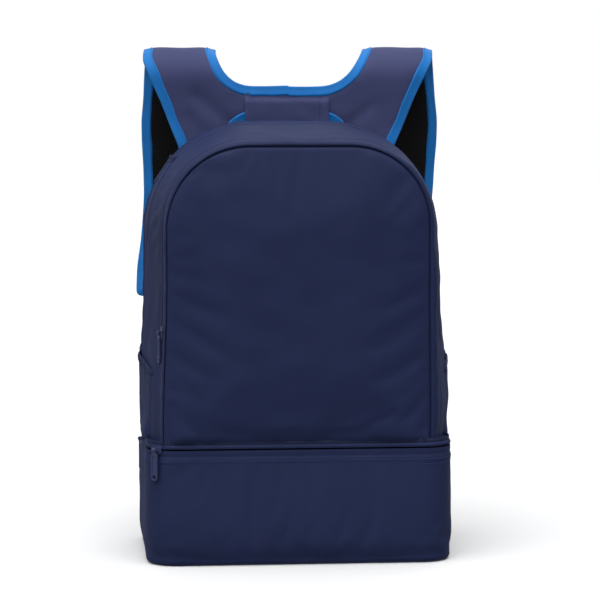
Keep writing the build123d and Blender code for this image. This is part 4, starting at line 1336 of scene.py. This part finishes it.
def pad_grid():
    """Flat pattern of the whole harness: points as X and run, and quads facing outward."""
    columns = steps(0, 6, 0.22, 9, 0.78, 6, 1)
    low_line, neck_line = LOWER_LINE, INNER_LINE
    turned = low_line[np.argmax(low_line[:, 0]):][::-1]
    join_low = np.interp(JOIN_X, turned[:, 0], turned[:, 1])
    join_high = np.interp(JOIN_X, neck_line[:60, 0], neck_line[:60, 1])
    s = steps(0.0, 13, join_low, 9, join_high, 15, LOOP_TOP, 66, PAD_RUN - 1.2)
    lower_part, neck_part = low_line[low_line[:, 0] >= JOIN_X], neck_line[neck_line[:, 0] >= JOIN_X]
    inner = np.where(s < join_low, np.interp(s, lower_part[:, 1], lower_part[:, 0]),
                     np.interp(s, neck_part[:, 1], neck_part[:, 0]))
    inner[(s >= join_low - 1e-6) & (s <= join_high + 1e-6)] = JOIN_X
    outer = np.interp(s, OUTER_LINE[:, 1], OUTER_LINE[:, 0])
    x = inner[:, None] + (outer - inner)[:, None] * columns[None, :]
    right = np.stack([x, np.broadcast_to(s[:, None], x.shape)], axis=-1)
    left = right[:, ::-1] * [-1, 1]
    across = np.linspace(-JOIN_X, JOIN_X, 31)
    foot = np.interp(np.abs(across), turned[:, 0], turned[:, 1])
    head = np.interp(np.abs(across), neck_line[:60, 0], neck_line[:60, 1])
    share = np.linspace(0, 1, 10)[:, None]
    bridge_s = (1 - share) * foot[None] + share * head[None]
    bridge = np.stack([np.broadcast_to(across[None], bridge_s.shape), bridge_s], axis=-1)
    points, quads, shift = [], [], 0
    for grid in (left, bridge, right):
        points.append(grid.reshape(-1, 2))
        quads.append(grid_quads(*grid.shape[:2]) + shift)
        shift += grid.shape[0] * grid.shape[1]
    points, quads = np.concatenate(points), np.concatenate(quads)
    _, first, welded = np.unique(np.round(points, 2), axis=0, return_index=True, return_inverse=True)
    return points[first], welded.reshape(-1)[quads]


def edge_distance(flat):
    """Distance on the flat pattern from each point to the nearest free edge."""
    lines = np.concatenate([OUTER_LINE, INNER_LINE, LOWER_LINE])
    x = np.abs(flat[:, 0])
    gap = np.hypot(x[:, None] - lines[None, :, 0], flat[:, 1][:, None] - lines[None, :, 1]).min(axis=1)
    return np.minimum(gap, flat[:, 1])


SKIN_T = 0.9


def pads():
    flat, quads = pad_grid()
    x, s = flat[:, 0], flat[:, 1]
    thickness = pad_thickness(edge_distance(flat))
    faces = {side: pad_point(x, s, thickness, side * thickness / 2) for side in (1, -1)}
    core = {side: pad_point(x, s, thickness, side * (thickness / 2 - SKIN_T)) for side in (1, -1)}
    middle = flat[quads].mean(axis=1)
    in_strap = middle[:, 1] > LOOP_TOP
    on_left, on_right = in_strap & (middle[:, 0] < 0), in_strap & (middle[:, 0] > 0)
    parts = (
        ("yoke", quads[~in_strap], "yoke_fabric", "yoke_foam", "yoke_mesh"),
        ("strap_left", quads[on_left], "strap_fabric_left", "strap_foams", "strap_mesh_left"),
        ("strap_right", quads[on_right], "strap_fabric_right", None, "strap_mesh_right"),
    )
    front_normals = vertex_normals(faces[1], quads)
    back_normals = vertex_normals(faces[-1], quads[:, ::-1])
    for word, part, fabric_node, foam_node, mesh_node in parts:
        fill = shell(word + "_pad", core[1], part, flat, 1.0, foam, foam, under=core[-1])
        # The outer skin takes the harness navy that is lightened as painted light.
        front = shell(word + "_outer", faces[1], part, flat, SKIN_T, painted_light_harness_fabric, lining, front_normals)
        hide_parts(fabric_node)
        turned = part[:, ::-1]
        back = shell(word + "_inner", faces[-1], turned, flat, SKIN_T, mesh_fabric, lining, back_normals)
        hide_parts(mesh_node)
        if foam_node:
            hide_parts(foam_node)
        for piece in (fill, front, back):
            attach(piece, "bag")


def folded_tape(line, side, into):
    """Rings of a binding tape folded over a padded edge, and rows for its stitches on both faces.

    line is on the flat pattern, side is 1 or -1 for left or right, and into turns its direction inward.
    """
    tangent = unit(np.gradient(line, axis=0))
    inward = np.stack([into * tangent[:, 1], -into * tangent[:, 0]], axis=1)
    run = along(line)
    width = BINDING_W + 0.35 * np.sin(run / 13) + 0.25 * np.sin(run / 5.2)
    sway = 0.5 * np.sin(run / 26 + side) + 0.3 * np.sin(run / 11)

    def ring_row(share, face, rise):
        distance = share * width
        place = line + inward * (distance + sway)[:, None]
        thickness = pad_thickness(np.maximum(distance, 0))
        return pad_point(side * place[:, 0], place[:, 1], thickness, face * (thickness / 2 + rise))

    shares = (1.0, 0.8, 0.55, 0.3, 0.12, 0.0)
    rows = [ring_row(share, 1, 0.55 if share < 1 else 0.15) for share in shares]
    rows.append(ring_row(-0.1, 1, -0.2))
    rows.append(ring_row(-0.1, -1, -0.2))
    rows += [ring_row(share, -1, 0.55 if share < 1 else 0.15) for share in shares[::-1]]
    rows += [ring_row(share, -1, -0.4) for share in shares]
    rows += [ring_row(share, 1, -0.4) for share in shares[::-1]]
    rings = np.stack(rows, axis=1)
    sewn = []
    for face in (1, -1):
        points = ring_row(0.8, face, 0.55)
        sewn.append((points, face * loop_place(line[:, 1])[1]))
    return rings, sewn


def bindings():
    for side, word in ((-1, "left"), (1, "right")):
        rings, sewn = folded_tape(OUTER_LINE[::2], side, -1)
        tape(f"outer_binding_{word}_tape", rings, sewn, f"outer_binding_{word}")
    for line, name, nodes in (
        (INNER_LINE[::2], "inner_binding_tape", ("neck_binding", "inner_bindings")),
        (LOWER_LINE[::2], "yoke_lower_binding_tape", ("yoke_lower_binding",)),
    ):
        if name.startswith("yoke"):
            line = line[::-1]
        into = -1 if name.startswith("yoke") else 1
        left, left_sewn = folded_tape(line, -1, into)
        right, right_sewn = folded_tape(line, 1, into)
        rings = np.concatenate([left[::-1], right[1:]])
        sewn = [(np.concatenate([a[::-1], c[1:]]), np.concatenate([b[::-1], d[1:]]))
                for (a, b), (c, d) in zip(left_sewn, right_sewn)]
        tape(name, rings, sewn, *nodes)


def tape(name, rings, sewn, *nodes):
    points, faces, uv = ring_parts(rings)
    made = make_object(name, points, faces, uv, [blue])
    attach(made, "bag")
    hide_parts(*nodes)
    row = stitches(name + "_stitches", sewn, blue_thread, pitch=2.8, length=2.0)
    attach(row, "bag")


TAB_HALF_W, TAB_Z = 43.0, (424.5, 457.5)


def centre_tab():
    us, zs = steps(-1, 5, -0.86, 22, 0.86, 5, 1), np.linspace(*TAB_Z, 19)
    x, z = np.meshgrid(us * TAB_HALF_W, zs)
    y = 78.4 + 2.8 * smooth(z, 447, 455) - 0.5 * hump(np.abs(x), TAB_HALF_W - 3, 3)
    y = y + 0.6 * hump(np.abs(x), TAB_HALF_W - 7.5, 1.6) - 0.8 * hump(x, 0, 30) * hump(z, 440, 9)
    y = y + 0.35 * waves(np.stack([x, z * 0.5, z], axis=-1), 24, 71)
    points = np.stack([x, y, z], axis=-1)
    flat = points[..., [0, 2]].reshape(-1, 2)
    # The tab takes the harness navy that is lightened as painted light.
    made = shell("centre_tab", points.reshape(-1, 3), grid_quads(*x.shape), flat, 1.2, painted_light_harness_fabric, lining)
    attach(made, "bag")
    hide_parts("yoke_centre_tab")
    rows = []
    for column in (6, -7):
        line = points[1:-2, column]
        rows.append((line, np.broadcast_to([0.0, -1.0, 0.0], line.shape)))
    sewn_to_bag("centre_tab_stitches", rows, pitch=2.8, length=2.0)


# ---------------------------------------------------------------- webbing and hardware
WEB_W, WEB_T = 25.0, 1.5
LOCK_X, LOCK_DROP, THREAD_END = 121.0, 9.0, 38.0
ANCHOR_AT, ANCHOR_RUN = (128.0, 148.0), 24.0


def lower_webbing():
    """Webbing from each ladder lock down to its patch."""
    bar, out = loop_place(PAD_RUN + LOCK_DROP)
    down = np.array([0.0, -math.sin(FOOT_LEAN), -math.cos(FOOT_LEAN)])
    start = bar + down * (THREAD_END + 1.5) - out * 3.2 + [LOCK_X, 0, 0]
    anchor = np.array([ANCHOR_AT[0], BACK_Y + 1.2 + WEB_T / 2, ANCHOR_AT[1]])
    along_patch = unit((anchor - start) * [1, 0, 1])
    centre = rounded([start, anchor, anchor + along_patch * ANCHOR_RUN], 6)
    for side, word in ((-1, "left"), (1, "right")):
        line = centre * [side, 1, 1]
        across = np.broadcast_to(np.cross([0, 1, 0], along_patch * [side, 1, 1]), line.shape)
        upward = unit(np.cross(across, np.gradient(line, axis=0)))
        half_w, half_t = WEB_W / 2, WEB_T / 2
        profile = [(-half_w, -0.4), (-half_w + 0.5, -half_t), (half_w - 0.5, -half_t), (half_w, -0.4),
                   (half_w, 0.4), (half_w - 0.5, half_t), (-half_w + 0.5, half_t), (-half_w, 0.4)]
        made = sweep(f"lower_webbing_{word}_ribbon", line, across, upward, profile, webbing)
        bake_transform(made)
        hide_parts(f"lower_webbing_{word}")
        rows = []
        begin = anchor * [side, 1, 1] + [0, WEB_T / 2 + 0.05, 0]
        toward, sideways = along_patch * [side, 1, 1], across[0]
        corners = [begin + toward * a + sideways * b for a, b in ((3, -10), (3, 10), (21, 10), (21, -10))]
        for a, b in ((0, 1), (1, 2), (2, 3), (3, 0), (0, 2), (1, 3)):
            row = resample(np.array([corners[a], corners[b]]), 2.0)
            rows.append((row, np.broadcast_to([0.0, 1.0, 0.0], row.shape)))
        sewn_to_bag(f"anchor_stitches_{word}", rows, pitch=2.6, length=1.8)


def hardware():
    finish = {
        "buckle_loops": webbing, "adjuster_webbing_left": webbing, "adjuster_webbing_right": webbing,
        "strap_anchors": trim, "ladder_lock_left": plastic, "ladder_lock_right": plastic, "base_board": board,
    }
    for zip_name in ("main", "pocket", "shoe_front", "shoe_side"):
        finish[zip_name + "_slider"] = finish[zip_name + "_pull"] = paint
    for name, material in finish.items():
        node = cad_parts[name]
        node.data.materials.clear()
        node.data.materials.append(material)
        bevel = node.modifiers.new("bevel", "BEVEL")
        bevel.width = (0.25 if material in (webbing, trim) else 0.35) * MM
        bevel.segments = 2
        bevel.limit_method = "ANGLE"
        bevel.angle_limit = math.radians(40)


upper_body()
arch_zips()
gusset_stitches()
pocket_front()
interior()
base_wall()
base_ledge()
floors()
shoe_zips()
side_pockets()
back_panel()
pads()
bindings()
centre_tab()
lower_webbing()
hardware()
